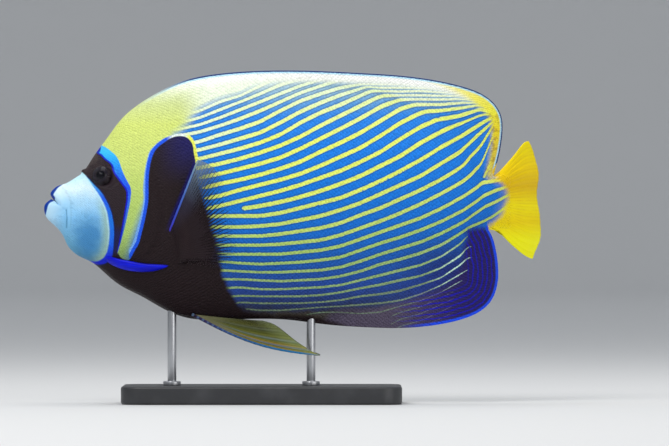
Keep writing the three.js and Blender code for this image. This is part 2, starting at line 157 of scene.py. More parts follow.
def from_line(line, x, y, closed=False):
    """How far each place is from a line of straight stretches; less than 0 outside a closed one."""
    ends = np.roll(line, -1, axis=0) if closed else line[1:]
    nearest = np.full(x.shape, 1e9)
    within = np.zeros(x.shape, bool)
    for (ax, ay), (bx, by) in zip(line, ends):
        dx, dy = bx - ax, by - ay
        share = np.clip(((x - ax) * dx + (y - ay) * dy) / max(dx * dx + dy * dy, 1e-9), 0, 1)
        nearest = np.minimum(nearest, (x - ax - share * dx) ** 2 + (y - ay - share * dy) ** 2)
        if closed and dy:
            within ^= ((ay > y) != (by > y)) & (x < dx * (y - ay) / dy + ax)
    distance = np.sqrt(nearest)
    return np.where(within, distance, -distance) if closed else distance


# The fish's surface

back_x, back_y, belly_x, belly_y, axis_x, axis_y, half_width = (spline(column) for column in zip(*STATIONS))
dorsal_base, anal_base = spline(DORSAL_BASE), spline(ANAL_BASE)


def fin_start(back):
    return np.where(back, DORSAL_FROM, ANAL_FROM)


def fin_base(row, back):
    """The share at which the body ends and the dorsal or anal fin starts."""
    before = np.where(back, DORSAL_BASE[0], ANAL_BASE[0]) + 0.1 * (fin_start(back) - row)
    curve = np.where(back, dorsal_base(row - DORSAL_FROM), anal_base(row - ANAL_FROM))
    base = np.where(row < fin_start(back), before, curve)
    return np.where(row >= FINS_END, 1, np.minimum(base, 1))


def tail_share(row, share):
    return smooth(row, 28, LAST) * np.sin(np.pi * np.minimum(1, np.abs(share))) ** 2


def on_sheet(row, share):
    belly = share < 0
    reach = np.abs(share)
    edge_x = np.where(belly, belly_x(row), back_x(row))
    edge_y = np.where(belly, belly_y(row), back_y(row))
    lean = mix(LEAN, TAIL_LEAN, smooth(row, 28, LAST))
    bulge = np.where(belly, 1.2, 0.4) * tail_share(row, share)
    x = axis_x(row) + (edge_x - axis_x(row)) * reach**lean + bulge
    return x, axis_y(row) + (edge_y - axis_y(row)) * reach


def fin_reach(row, share):
    """0 on the body, rising to 1 at a fin's outer edge."""
    base = fin_base(row, share > 0)
    return np.where(base < 1, np.clip((np.abs(share) - base) / np.maximum(1 - base, 1e-6), 0, 1), 0)


def half_thick(row, share):
    """Half the thickness of the fish in millimetres, body and fin together."""
    back, reach = share > 0, np.abs(share)
    inside = np.maximum(0, 1 - (reach / fin_base(row, back)) ** 2)
    blunt = np.where(back, np.interp(row, *BACK_BLUNT), np.interp(row, *BELLY_BLUNT))
    body = half_width(row) * inside**blunt
    rear = (row - FINS_END) / (LAST - FINS_END)
    root = np.where(rear > 0, mix(TAIL_ROOT_HALF, FIN_EDGE_HALF, rear), FIN_ROOT_HALF)
    grown = np.clip(row - fin_start(back) + 1, 0, 1)
    fin = grown * mix(root, FIN_EDGE_HALF, fin_reach(row, share) ** 0.8)
    no_fin = (row < DORSAL_FROM - 1) | ((row < ANAL_FROM - 1) & ~back)
    return np.where(reach > 0.9999, 0, np.where(no_fin, body, np.hypot(body, fin)))


def spine_turn(x):
    tail = np.maximum(x - TAIL_TURN_X, 0) / TAIL_LENGTH
    head = np.maximum(HEAD_TURN_X - x, 0) / HEAD_LENGTH
    return TAIL_TURN * tail**TAIL_TURN_POWER + HEAD_TURN * head**HEAD_TURN_POWER


def spine_side(x):
    tail = spine_turn(x) * np.maximum(x - TAIL_TURN_X, 0) / (TAIL_TURN_POWER + 1)
    head = spine_turn(x) * np.maximum(HEAD_TURN_X - x, 0) / (HEAD_TURN_POWER + 1)
    return tail - head


def place(x, y, aside):
    """A place on the sheet in metres, moved off the spine by millimetres: to the left when less than 0."""
    x, y, aside = np.broadcast_arrays(x, y, aside)
    turn = spine_turn(x)
    length = np.hypot(1, turn)
    return np.stack([
        (x - SHEET_X) * GRID - aside * MM * turn / length,
        spine_side(x) * GRID + aside * MM / length,
        (SHEET_Y - y) * GRID,
    ], axis=-1)


def locate(x, y):
    """The row and share of places on the sheet, and whether they are on the fish in front of the tail fin."""
    x, y = np.broadcast_arrays(np.asarray(x, float), np.asarray(y, float))
    rows = np.linspace(19, FINS_END, 200)
    low, high = np.zeros(x.shape), np.full(x.shape, float(LAST))
    high = np.where(y < back_y(FINS_END), np.interp(y, back_y(rows), rows), high)
    high = np.where(y > belly_y(FINS_END), np.interp(-y, -belly_y(rows), rows), high)

    def share_at(row):
        edge = np.where(y < axis_y(row), back_y(row), belly_y(row))
        return np.sign(axis_y(row) - y) * np.minimum(1, np.abs((y - axis_y(row)) / (edge - axis_y(row))))

    within = on_sheet(high, share_at(high))[0] > x
    for _ in range(30):
        row = (low + high) / 2
        short = on_sheet(row, share_at(row))[0] < x
        low, high = np.where(short, row, low), np.where(short, high, row)
    share = share_at(low)
    return low, share, within & (np.abs(share) < 0.992) & (low > 0.02)


def surface_at(x, y):
    row, share, _ = locate(x, y)
    return half_thick(row, share)


# Relief of the skin

EYE_RIM = math.sqrt(EYE_RADIUS**2 - EYE_INSET**2)
JAW_CREASE = flowing([(65, 210), (65.3, 216), (65.5, 222), (65.4, 227.5)], closed=False)
MOUTH_FOLD = flowing([(57, 205.8), (60, 207.6), (63, 209.4)], closed=False)
NOSTRIL, NOSTRIL_RADIUS = (94.4, 177.3), 1.1
FLAP_ROW, FLAP_SHARE, FLAP_REACH = 6.28, 0.95, (-2.9, -2)
# Heights, with the x of each plate's rear edge there
CHEEK_EDGE = ([158, 172, 186, 205, 225, 243, 257, 268], [138, 135, 133, 131, 128, 124, 119, 112])
GILL_EDGE = (
    [160, 170, 180, 192, 204, 216, 230, 244, 256, 266],
    [141, 148, 154, 159, 161, 161.5, 159, 154, 145, 132],
)
PECTORAL_BASE = (173, 247)
TAIL_RAYS, FIN_RAYS, PECTORAL_RAYS, PELVIC_RAYS = 17, 2.3, 32, 14


def ray_phase(row, share):
    """Counts the fin rays: along the rows on the tail fin, up the shares on the others."""
    return np.where(row > FINS_END + 0.6, share * TAIL_RAYS / 2, row * FIN_RAYS)


def ray_strength(row, share):
    fins = 0.55 * smooth(fin_reach(row, share), 0.1, 0.7) * (row < FINS_END)
    return np.maximum(smooth(row, 28.2, 29.6), fins)


def relief(row, share, x, y):
    """How far the skin stands proud of its plain shape, in millimetres."""
    eye = np.hypot(x - EYE_X, y - EYE_Y) * GRID / MM
    height = 0.35 * hump(eye, EYE_RIM + 0.9, 0.8) - 2.2 * (1 - smooth(eye, EYE_RIM - 1.6, EYE_RIM + 0.1))
    height += 0.35 * hump(row, 0.9, 0.7) - 0.22 * hump(row, 2.35, 0.35) * smooth(np.abs(share), 0.1, 0.35)
    height -= 0.45 * hump(from_line(JAW_CREASE, x, y), 0, 1.1)
    height -= 0.15 * hump(from_line(MOUTH_FOLD, x, y), 0, 1.1)
    pit = np.hypot(x - NOSTRIL[0], y - NOSTRIL[1]) * GRID / MM
    height += 0.3 * hump(pit, NOSTRIL_RADIUS + 0.6, 0.5) - 0.9 * hump(pit, 0, NOSTRIL_RADIUS)
    for (ys, xs), rise, run, top, low in ((CHEEK_EDGE, 0.35, 7, 160, 264), (GILL_EDGE, 0.8, 12, 162, 262)):
        ahead = np.interp(y, ys, xs) - x
        on = smooth(y, top, top + 14) * (1 - smooth(y, low - 10, low))
        plate = np.exp(-np.maximum(ahead, 0) / run) * smooth(ahead, -1.2, 0.8)
        height += on * (rise * plate - 0.25 * rise * hump(ahead, -3, 2.5))
    height += 0.9 * hump(np.hypot((x - PECTORAL_BASE[0]) / 9, (y - PECTORAL_BASE[1]) / 17), 0, 1)
    rays = np.cos(2 * np.pi * ray_phase(row, share))
    return height + 0.16 * ray_strength(row, share) * rays


def coat_depth(row, share, x, y):
    """How deep the skin lies inside the scales' outer surface, in millimetres."""
    face = smooth(x, 60, 150)
    fin = np.maximum(fin_reach(row, share), smooth(row, FINS_END, 29))
    eye = smooth(np.hypot(x - EYE_X, y - EYE_Y), 9, 16)
    return mix(0.1, 0.3, face) * mix(1, 0.3, fin) * mix(0.3, 1, eye)


def nostril_flap(row, share, wide=1):
    """1 at the tip of the short flap in front of each eye, falling to 0 round it."""
    return hump(row, FLAP_ROW, 0.36 * wide) * hump(share, FLAP_SHARE, 0.03 * wide)


def skin_point(row, share, side):
    """A point of the skin in metres."""
    x, y = on_sheet(row, share)
    flap = nostril_flap(row, share)
    x, y = x + FLAP_REACH[0] * flap, y + FLAP_REACH[1] * flap
    half = half_thick(row, share)
    thin = np.minimum(1, half / 1.2)
    rise = (relief(row, share, x, y) - coat_depth(row, share, x, y)) * thin
    wave = np.where(share < 0, -2.4, -0.5) * tail_share(row, share)
    ripple = 0.55 * smooth(row, 28.5, 31) * np.sin(np.pi * (3.4 * share + 0.25 * row))
    ripple *= 1 - np.abs(share) ** 4
    return place(x, y, wave + ripple + side * np.maximum(half + rise, 0))


# Markings: outlines and lines on the sheet

AREAS = {
    "muzzle": flowing([
        (84, 174), (88, 181), (94, 190), (99, 197.5), (103, 205), (106, 213), (107.5, 222), (108.5, 231),
        (108, 241), (106.5, 250), (103.5, 256.5), (98, 260.6), (90, 261), (78, 258), (50, 262), (25, 240),
        (20, 200), (35, 172), (70, 158), (80, 166),
    ]),
    "muzzle_band": flowing([
        (82.5, 173), (86, 176), (90, 180.5), (95, 186), (100, 191), (104, 197), (108, 204.5), (111, 212),
        (113, 221), (114, 231), (113.7, 242), (113, 252), (111, 258.5), (106, 263.5), (98, 265.5), (88, 264),
        (60, 266), (20, 260), (10, 200), (30, 165), (70, 150), (79, 165),
    ]),
    "mask": flowing([
        (98, 154.5), (100, 155.5), (104, 160), (110, 165), (113, 173), (117, 179), (121, 184.5), (125, 190),
        (126, 195), (125.5, 203), (124, 211), (122, 222), (120, 233), (118, 243), (116.8, 250), (116.6, 256),
        (114, 262), (104, 270), (80, 276), (10, 260), (5, 190), (40, 140), (88, 138), (94, 150),
    ]),
    "mask_band": flowing([
        (101.5, 145), (106, 148), (111, 152), (116, 157), (119, 163), (121, 169), (124, 176), (127, 181.5),
        (130, 187), (130.8, 192), (130.3, 198), (129.5, 204), (127.5, 213), (125.5, 222), (123, 232),
        (120.5, 241), (118.2, 248), (117, 252), (115.8, 256), (112.6, 260.5), (103, 267), (80, 272), (5, 265),
        (0, 180), (40, 125), (86, 126), (96, 139),
    ]),
    "black": flowing([
        (117.4, 253), (119.5, 256.6), (123.5, 259.3), (128, 260), (131, 257), (134.5, 250.5), (139, 243),
        (141, 236), (144, 225), (146.5, 214), (148.5, 203), (149, 192), (149, 181), (149.5, 173), (151, 163),
        (154, 153.5), (159, 147), (165, 142.5), (171, 138.5), (178, 136.5), (185, 137), (190, 140.5),
        (193, 146), (194, 153), (195.2, 159), (196, 165), (196.8, 175), (198.4, 185), (201.4, 195),
        (205, 206), (208.4, 216), (211.6, 226), (214.8, 236), (217.6, 246), (219.6, 256), (221.2, 266),
        (223, 276), (227, 286), (232, 295), (238, 304), (247, 311), (275, 315), (320, 317), (360, 340),
        (300, 370), (180, 360), (90, 310), (84, 272), (90, 261.8), (100, 263), (108, 262), (113.5, 257),
    ]),
    "patch_edge": flowing([
        (128.5, 252), (128.8, 249), (131, 246), (134, 239), (137, 229), (140, 219), (142.5, 209), (144, 199),
        (143.5, 190), (144, 181), (145, 172), (147, 162), (150, 152), (155, 146), (160, 141.5), (166, 138),
        (173, 135.5), (180, 134), (187, 134.6), (192.2, 138.2), (195.3, 144.5), (197, 152), (198.4, 159),
        (198, 164), (193, 172), (183, 200), (160, 250), (138, 262), (130, 259),
    ]),
    "blue": flowing([
        (170, 136), (175, 130), (184, 122), (190, 113), (200, 104), (215, 97), (235, 90), (260, 83),
        (300, 77), (350, 72), (420, 68), (480, 68), (560, 120), (600, 250), (500, 400), (200, 400),
        (120, 300), (150, 180),
    ]),
    "lobe": flowing([
        (463, 231), (466.5, 236), (469.5, 245), (470.5, 257), (467, 271), (460, 283), (450, 292), (430, 301),
        (405, 309), (375, 315), (335, 319), (330, 350), (480, 350), (540, 280), (520, 240), (497, 232),
        (491, 229.5), (484, 227.5), (475, 227.5), (468, 229),
    ]),
}


def outer_edge(edge_x, edge_y, start, count):
    """The back or belly edge as a line, from a row to the end of its fin."""
    rows = np.linspace(start, FINS_END, count)
    return np.stack([edge_x(rows), edge_y(rows)], axis=1)


BACK_EDGE, BELLY_EDGE = outer_edge(back_x, back_y, 7, 150), outer_edge(belly_x, belly_y, 15, 120)

# Height of the yellow stripes' middles at each place along the fish, with the number of the first one
STRIPES = {
    200: (-3, [111, 118, 125, 132, 142, 150, 159, 168, 178, 189, 199.5, 210.5, 217, 227, 236.5, 246,
        254.5, 263, 271.5]),
    220: (-3, [102, 110, 118, 126, 135, 145, 154, 164, 174, 184, 196, 206, 216, 227, 236, 245, 254, 261,
        270]),
    240: (-3, [96, 102, 110, 119, 129, 139, 149, 159, 169, 180, 190, 201, 216, 227, 236, 245, 254, 263,
        271, 279, 287, 295.5, 302, 308]),
    260: (-3, [86, 94, 102, 111, 122, 133, 143, 153, 164, 175, 185, 196, 216, 226, 236, 245, 254, 264,
        272, 280, 289, 296, 303]),
    280: (-2, [85, 94, 102, 111, 123, 135, 146, 158, 169, 180, 191, 213, 224, 234, 244, 254, 263, 272,
        281, 289, 296, 303]),
    300: (-1, [86, 93, 101, 112, 123, 137, 149, 162, 174, 185, 208, 220, 231, 242, 252, 262, 271, 280,
        288, 296, 303, 308.5]),
    320: (-1, [79.5, 86, 94, 103, 113, 126, 139, 152, 166, 178, 203, 216, 228, 240, 250, 260, 270, 279,
        287, 295, 302, 307, 312]),
    340: (0, [79.5, 88, 95, 105, 116, 129, 143, 157, 171, 198, 210, 223, 235, 246, 257, 267, 276, 285,
        292, 300, 306, 312]),
    360: (0, [80, 84.5, 88.5, 95.5, 106, 118.5, 133, 148, 162, 190, 203, 215, 228, 239, 250, 261, 271,
        280, 288, 296, 304.5, 313.5]),
    380: (0, [81, 84.5, 88, 91, 96, 107, 121, 136, 152, 181, 194, 208, 221, 232, 243, 254, 264, 275,
        284.5, 294, 303, 312]),
    400: (0, [81.5, 84.5, 87.8, 91.7, 95.5, 99, 109, 123, 139, 171, 185, 199, 213, 225, 237, 248, 259,
        270, 280, 290.5, 300.5, 306, 312]),
    420: (0, [83, 85.3, 88, 91, 95.5, 99.4, 104.3, 113, 127, 160, 176, 190, 204, 218, 230, 242, 253, 265,
        275.8, 284.5, 294.4, 300.6, 306.7]),
    440: (0, [85, 87, 89.5, 92.5, 96, 99.5, 104.7, 110.5, 119, 147, 163, 179, 193, 208, 221, 233, 244.7,
        256.5, 268, 278, 285.5, 292.5, 297.5]),
    460: (1, [89, 90.5, 93, 95.8, 99, 102.8, 107.9, 115.5, 136.5, 151, 166, 181, 196, 210, 222, 232, 243,
        255.5, 264.5, 274, 281]),
    467: (1, [91.1, 92.5, 94.6, 97, 99.7, 102.7, 106.7, 113, 132.1, 144.5, 159, 175.4, 191.3, 204.7,
        216.6, 227.2, 234.5, 246.5, 257.5, 269.5, 278, 286]),
    480: (1, [95, 96.3, 97.5, 99.3, 101, 102.5, 104.5, 108.5, 124, 132.5, 146, 165, 182.5, 195, 206.5,
        222, 236, 247]),
    495: (5, [108, 109.5, 111, 112.5, 116, 119, 122, 130, 180.6, 189.3, 200, 212, 226, 238, 250, 262]),
    508: (12, [150, 180, 185, 193.5, 203, 215, 226, 238]),
}
FIRST_STRIPE, LAST_STRIPE = -6, 25
# Where stripes 2 to 8 bend as they pass on to the dorsal fin
FIN_BENDS = {
    2: (366, 86.5), 3: (372, 90), 4: (384, 95), 5: (400, 99), 6: (415, 104), 7: (426, 111), 8: (438, 119),
}
# Stripe numbers, with the x where each starts or ends, and with half its width
STRIPE_STARTS = (
    [4, 5, 6, 7, 8, 9, 10, 11, 13, 15, 16, 17, 18, 19, 20, 21, 22],
    [170, 196, 200, 202, 202, 203, 205, 207, 209, 212, 214, 217, 222, 230, 240, 300, 385],
)
STRIPE_ENDS = ([16, 17, 18, 19, 20, 21, 22], [600, 469, 473, 474, 471, 467, 462])
STRIPE_HALF = ([-3, 2, 6, 9, 12, 14, 16, 18, 20, 22], [1.95, 2.1, 2.1, 1.95, 1.7, 1.5, 1.35, 1.15, 0.85, 0.6])
SHORT_STRIPE = flowing([
    (244, 208.4), (260, 206), (280, 202), (300, 197), (320, 191), (340, 184), (360, 176), (380, 166),
    (400, 156), (420, 143), (440, 132), (451, 127), (460, 123.5), (480, 115.4), (490, 114),
], closed=False)
REAR_STRIPE = flowing([(483, 177), (490, 163), (493.4, 152), (498, 135)], closed=False)
# Heights, with the x where the yellow of the tail fin starts there
TAIL_FRONT = (
    [172, 180, 187, 195, 201, 206, 212, 217, 223, 230],
    [490, 497, 503, 505.5, 504.5, 502, 500, 497.5, 490.5, 485],
)
# Rows, with the width of the golden rear edge of the dorsal fin there
GOLD_WIDTH = ([18.5, 20, 21, 22, 23, 24, 25, 26, 27], [-5, 1, 7, 12.5, 12, 10.5, 8.5, 7.5, 6])
LIP_EDGES = [
    flowing([(61, 184), (56, 187), (51.5, 191.5), (50.2, 195.5), (52, 198.2)], closed=False),
    flowing([(51.2, 199), (48.4, 200.2), (45.6, 203.4), (44.2, 208), (44.4, 214.5)], closed=False),
]


def stripe_heights():
    """A row of middle heights for each stripe, at every square of x from 150 to 540."""
    xs = np.arange(150, 541)
    numbers = range(FIRST_STRIPE, LAST_STRIPE + 1)
    columns = {}
    for x, (first, ys) in STRIPES.items():
        above = [ys[0] - (ys[1] - ys[0]) * (first - k) for k in numbers if k < first]
        below = [ys[-1] + max(7, ys[-1] - ys[-2]) * i for i in range(1, LAST_STRIPE - first - len(ys) + 2)]
        columns[x] = above + ys + below
    near, far = np.array(columns[200]), np.array(columns[220])
    columns[150] = list(near + (near - far) * 1.6)
    table = []
    for i, k in enumerate(numbers):
        points = [(x, column[i]) for x, column in columns.items()]
        points = sorted(points + [FIN_BENDS[k]] if k in FIN_BENDS else points)
        heights = np.interp(xs, *zip(*points))
        table.append(np.convolve(np.pad(heights, 3, mode="edge"), np.ones(7) / 7, mode="valid"))
    return np.sort(np.array(table), axis=0)


stripe_table = stripe_heights()


def stripe_fields(x, y):
    """The stripe's number at each place, growing evenly in between, the stripes' gap and half a width."""
    column = np.clip(x - 150, 0, stripe_table.shape[1] - 1.001)
    i = column.astype(int)
    heights = mix(stripe_table[:, i], stripe_table[:, i + 1], column - i)
    below = np.clip((heights < y).sum(axis=0) - 1, 0, len(heights) - 2)
    at = np.arange(x.size)
    top, bottom = heights[below, at], heights[below + 1, at]
    gap = np.maximum(bottom - top, 1.5)
    number = FIRST_STRIPE + below + np.clip((y - top) / gap, -0.5, 1.5)
    nearest = np.round(number)
    half = np.interp(nearest, *STRIPE_HALF) * np.clip(gap / 10, 0.25, 1) ** 0.8
    half *= np.interp(x, [220, 400], [0.9, 1.08])
    half *= smooth(x - np.interp(nearest, *STRIPE_STARTS), 0, 9)
    half *= smooth(np.interp(nearest, *STRIPE_ENDS) - x, 0, 16) ** 0.5
    half *= np.where(nearest >= 17, mix(1, 0.66, smooth(x, 395, 440)) * mix(1, 1.35, smooth(x, 445, 465)), 1)
    return number, gap, half - 1.3 * (1 - smooth(half, 0, 0.4))


def markings(row, share, x, y):
    """The fields that the finish reads, each with a value at every place given."""
    number, gap, half = stripe_fields(x, y)
    short = 1.95 * mix(1, 0.5, smooth(x, 445, 475)) - from_line(SHORT_STRIPE, x, y)
    rear = 1 - from_line(REAR_STRIPE, x, y)
    back_margin = from_line(BACK_EDGE, x, y)
    lips = np.minimum(*(from_line(line, x, y) for line in LIP_EDGES)) + 1.8 * smooth(np.abs(y - 200), 7, 16)
    return {
        "sheet_x": x,
        "sheet_y": y,
        **{name: from_line(area, x, y, closed=True) for name, area in AREAS.items()},
        "stripe": number,
        "stripe_gap": gap,
        "stripe_half": half,
        "extra": np.maximum(short, rear),
        "back_margin": back_margin,
        "anal_margin": from_line(BELLY_EDGE, x, y),
        "gold": np.where(share > 0, np.interp(row, *GOLD_WIDTH) - back_margin, -20),
        "tail": np.where(row > 26, x - np.interp(y, *TAIL_FRONT), -20),
        "lip": np.where(row < 5, np.hypot(lips, 0.45 * half_thick(row, share)), 20),
        "crease": np.where(row < 9, from_line(JAW_CREASE, x, y), 20),
        "ray": ray_phase(row, share),
        "ray_strength": ray_strength(row, share),
    }


# Meshes

def make_mesh(name, points, faces, fields=None, corners=None):
    """A named piece from its points and faces, with a value for each point in every field."""
    mesh = bpy.data.meshes.new(name)
    sizes = np.concatenate([np.full(len(group), group.shape[1]) for group in faces])
    loops = np.concatenate([group.ravel() for group in faces]).astype(np.int32)
    mesh.vertices.add(len(points))
    mesh.vertices.foreach_set("co", np.ascontiguousarray(points, np.float32).ravel())
    mesh.loops.add(len(loops))
    mesh.loops.foreach_set("vertex_index", loops)
    mesh.polygons.add(len(sizes))
    mesh.polygons.foreach_set("loop_start", np.concatenate([[0], np.cumsum(sizes)[:-1]]).astype(np.int32))
    mesh.update(calc_edges=True)
    mesh.shade_smooth()
    for field, values in (fields or {}).items():
        kept = mesh.attributes.new(field, "FLOAT", "POINT")
        kept.data.foreach_set("value", np.ascontiguousarray(values, np.float32).ravel())
    if corners is not None:
        layer = mesh.uv_layers.new(name="OFBake")
        layer.uv.foreach_set("vector", np.ascontiguousarray(corners, np.float32).ravel())
    piece = bpy.data.objects.new(name, mesh)
    bpy.context.scene.collection.objects.link(piece)
    return piece


def finish_piece(piece, material, slot, *nodes):
    piece.data.materials.append(material)
    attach(piece, "root")
    if nodes:
        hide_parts(*nodes)


def tube_quads(rings, around, start=0):
    """The sides of a tube, whose rings of points follow each other from a first point."""
    i, j = np.meshgrid(np.arange(rings - 1), np.arange(around), indexing="ij")
    a, b = start + i * around + j, start + i * around + (j + 1) % around
    return np.stack([a, a + around, b + around, b], axis=-1).reshape(-1, 4)


def end_caps(rings, around, start=0):
    """The closings of a tube's ends, round the two end points that follow its rings."""
    j = np.arange(around)
    after, last, tip = (j + 1) % around, start + (rings - 1) * around, start + rings * around
    first = np.stack([start + j, start + after, np.full(around, tip)], axis=1)
    return np.concatenate([first, np.stack([last + after, last + j, np.full(around, tip + 1)], axis=1)])


def summed(steps, middle):
    """Running sums along each row of a table, counted from its middle column."""
    total = np.concatenate([np.zeros((len(steps), 1)), np.cumsum(steps, axis=1)], axis=1)
    return total - total[:, [middle]]


def unit(ways):
    return ways / np.linalg.norm(ways, axis=1)[:, None]


# Skin

def ring_shares():
    """Shares up one side, closer together towards the back and the belly."""
    t = np.linspace(-1, 1, SKIN_SHARES - 4)
    inner = 0.5 * t + 0.5 * np.sin(t * np.pi / 2)
    return np.concatenate([[-1, -0.9985, -0.995], inner[1:-1] * 0.995, [0.995, 0.9985, 1]])


def throat_pocket(rims):
    """Rings that lead from the lips in to the throat, closing on the way."""
    middle = (rims + np.roll(rims[::-1], 1, axis=0)) / 2
    deep = place(*THROAT, 0)
    steps = ((0.15, 0.2), (0.45, 0.5), (0.75, 0.8), (0.93, 0.95))
    return np.array([mix(deep, mix(middle, rims, width), opened) for opened, width in steps])


def skin_faces(rings, around, across):
    """The skin's faces: its rings, and the flat closings of the throat and of the tail fin's edge."""
    i = np.arange(1, across - 2)
    flat = np.stack([i, i + 1, around - i - 1, around - i], axis=1)
    ends = np.array([[0, 1, around - 1], [across - 2, across - 1, across]])
    closings = ((0, 1), ((rings - 1) * around, -1))
    quads = [tube_quads(rings, around)] + [start + flat[:, ::order] for start, order in closings]
    tips = [start + ends[:, ::order] for start, order in closings]
    return np.concatenate(quads), np.concatenate(tips)


def build_skin():
    """One closed skin over the whole fish, from the mouth's throat to the tail fin's edge."""
    rows = np.concatenate([
        np.arange(0, 9, 1 / 11), np.arange(9, 12, 1 / 12), np.arange(12, 22, 1 / 13),
        np.arange(22, LAST, 1 / 9), [LAST],
    ])
    shares = ring_shares()
    shape = (len(rows), len(shares))
    row, share = (grid.ravel() for grid in np.meshgrid(rows, shares, indexing="ij"))
    x, y = on_sheet(row, share)
    left, right = (skin_point(row, share, side).reshape(*shape, 3) for side in (LEFT, RIGHT))
    rings = np.concatenate([left, right[:, -2:0:-1]], axis=1)
    pocket = throat_pocket(rings[0])
    points = np.concatenate([pocket, rings])
    total, count = points.shape[:2]
    faces = skin_faces(total, count, len(shares))

    def all_round(values):
        grid = values.reshape(shape)
        ring = np.concatenate([grid, grid[:, -2:0:-1]], axis=1)
        return np.concatenate([np.repeat(ring[:1], len(pocket), axis=0), ring]).ravel()

    fields = {name: all_round(values) for name, values in markings(row, share, x, y).items()}
    mouth = np.zeros((total, count))
    mouth[: len(pocket)] = np.linspace(1, 0.1, len(pocket))[:, None]
    fields["mouth"] = mouth
    fields["tone"] = np.zeros(total * count)
    fields["along"] = np.full(total * count, 0.7)

    # Each side of the fish fills half of the bake map: length along the spine by height over the skin
    half = (half_thick(row, share) * MM / GRID).reshape(shape)
    rise = np.hypot(np.diff(y.reshape(shape), axis=1), np.diff(half, axis=1))
    across = all_round(spine_length(x))
    up = all_round(summed(rise, len(shares) // 2))
    across = mix(0.01, 0.99, (across - across.min()) / np.ptp(across))
    up = 0.25 + 0.235 * up / np.abs(up).max()
    corner = np.concatenate([group.ravel() for group in faces])
    furthest = [np.repeat((group % count).max(axis=1), group.shape[1]) for group in faces]
    on_right = np.concatenate(furthest) >= len(shares)
    corners = np.stack([across[corner], up[corner] + 0.5 * on_right], axis=1)
    return make_mesh("skin", points.reshape(-1, 3), faces, fields, corners)


def spine_length(x):
    """Length along the bent spine from the lips, in squares."""
    xs = np.linspace(40, 545, 506)
    return np.interp(x, xs, np.cumsum(np.hypot(1, spine_turn(xs))))


# Scales

# Width of the scales in millimetres at each place along the sheet
SCALE_PITCH = ([46, 75, 110, 150, 200, 300, 440, 480, 510], [1.5, 1.6, 1.8, 2.1, 2.5, 2.7, 2.5, 2.1, 1.7])
COLUMN_SHARE, FIN_SHARE = 0.56, 0.66
SCALE_LONG, SCALE_WIDE = 3.3, 1.22
SCALES_FROM, SCALES_TO = 47.0, 512
BAKE_PATCH = (0.0026, 0.003)
# Each tile: distance along as a share of its length, across as a share of its width, height in millimetres
TILE = np.array([
    (-0.12, -0.34, -0.12), (-0.12, 0, -0.1), (-0.12, 0.34, -0.12),
    (0.45, -0.5, 0.02), (0.45, 0, 0.2), (0.45, 0.5, 0.02),
    (0.8, -0.4, 0.14), (0.83, 0, 0.3), (0.8, 0.4, 0.14), (1, 0, 0.27),
    (0.45, -0.5, -0.2), (0.8, -0.4, -0.12), (1, 0, -0.05), (0.8, 0.4, -0.12), (0.45, 0.5, -0.2),
])
TILE_QUADS = np.array([
    (0, 3, 4, 1), (1, 4, 5, 2), (3, 6, 7, 4), (4, 7, 8, 5), (3, 10, 11, 6), (6, 11, 12, 9), (9, 12, 13, 8),
    (8, 13, 14, 5),
])
TILE_TIPS = np.array([(6, 9, 7), (7, 9, 8)])


def scale_columns():
    """Where the columns of scales stand along the sheet, closer together where the fish bends."""
    xs = [SCALES_FROM]
    while xs[-1] < SCALES_TO:
        step = np.interp(xs[-1], *SCALE_PITCH) * COLUMN_SHARE * MM / GRID
        xs.append(xs[-1] + step / float(np.hypot(1, spine_turn(np.array(xs[-1])))))
    return np.array(xs)


def scale_roots():
    """Row, share, x, fin reach and width of every scale on one side, and its height on the unwrapped side."""
    xs, ys = scale_columns(), np.arange(64, 334, 0.8)
    grid_x, grid_y = np.meshgrid(xs, ys, indexing="ij")
    row, share, within = locate(grid_x, grid_y)
    points = place(grid_x, grid_y, half_thick(row, share)) / MM
    step = np.linalg.norm(np.diff(points, axis=1), axis=2)
    step = np.where(within[:, 1:] & within[:, :-1], np.minimum(step, 6), 0.5)
    pitch = np.interp(grid_x, *SCALE_PITCH) * mix(1, FIN_SHARE, fin_reach(row, share))
    middle = np.argmin(np.abs(ys - 206))
    arc, count = summed(step, middle), summed(step / pitch[:, 1:], middle)
    found = []
    for i, x in enumerate(xs):
        whole = np.arange(math.ceil(count[i, 0]), math.floor(count[i, -1])) + 0.5 * (i % 2)
        y = np.interp(whole, count[i], ys)
        found.append(np.stack([np.full(len(y), x), y, np.interp(y, ys, arc[i])], axis=1))
    x, y, arc = np.concatenate(found).T
    x = x + rng.uniform(-0.1, 0.1, len(x))
    y = y + rng.uniform(-0.12, 0.12, len(x))
    row, share, within = locate(x, y)
    reach = fin_reach(row, share)

    # Bare skin round the eyes, on the lips, creases and nostrils, and at the edges of the fins
    eye = np.hypot(x - EYE_X, y - EYE_Y) * GRID / MM > EYE_RIM + 1.9
    lips = (row > 2.9) & (from_line(JAW_CREASE, x, y) > 2.2)
    nostril = (np.hypot(x - NOSTRIL[0], y - NOSTRIL[1]) > 3.2) & (nostril_flap(row, share, wide=1.6) <= 0.2)
    kept = within & eye & lips & nostril & (reach < 0.955) & (row < 28.9)
    row, share, x, arc, reach = (values[kept] for values in (row, share, x, arc, reach))
    return row, share, x, reach, np.interp(x, *SCALE_PITCH) * mix(1, FIN_SHARE, reach), arc


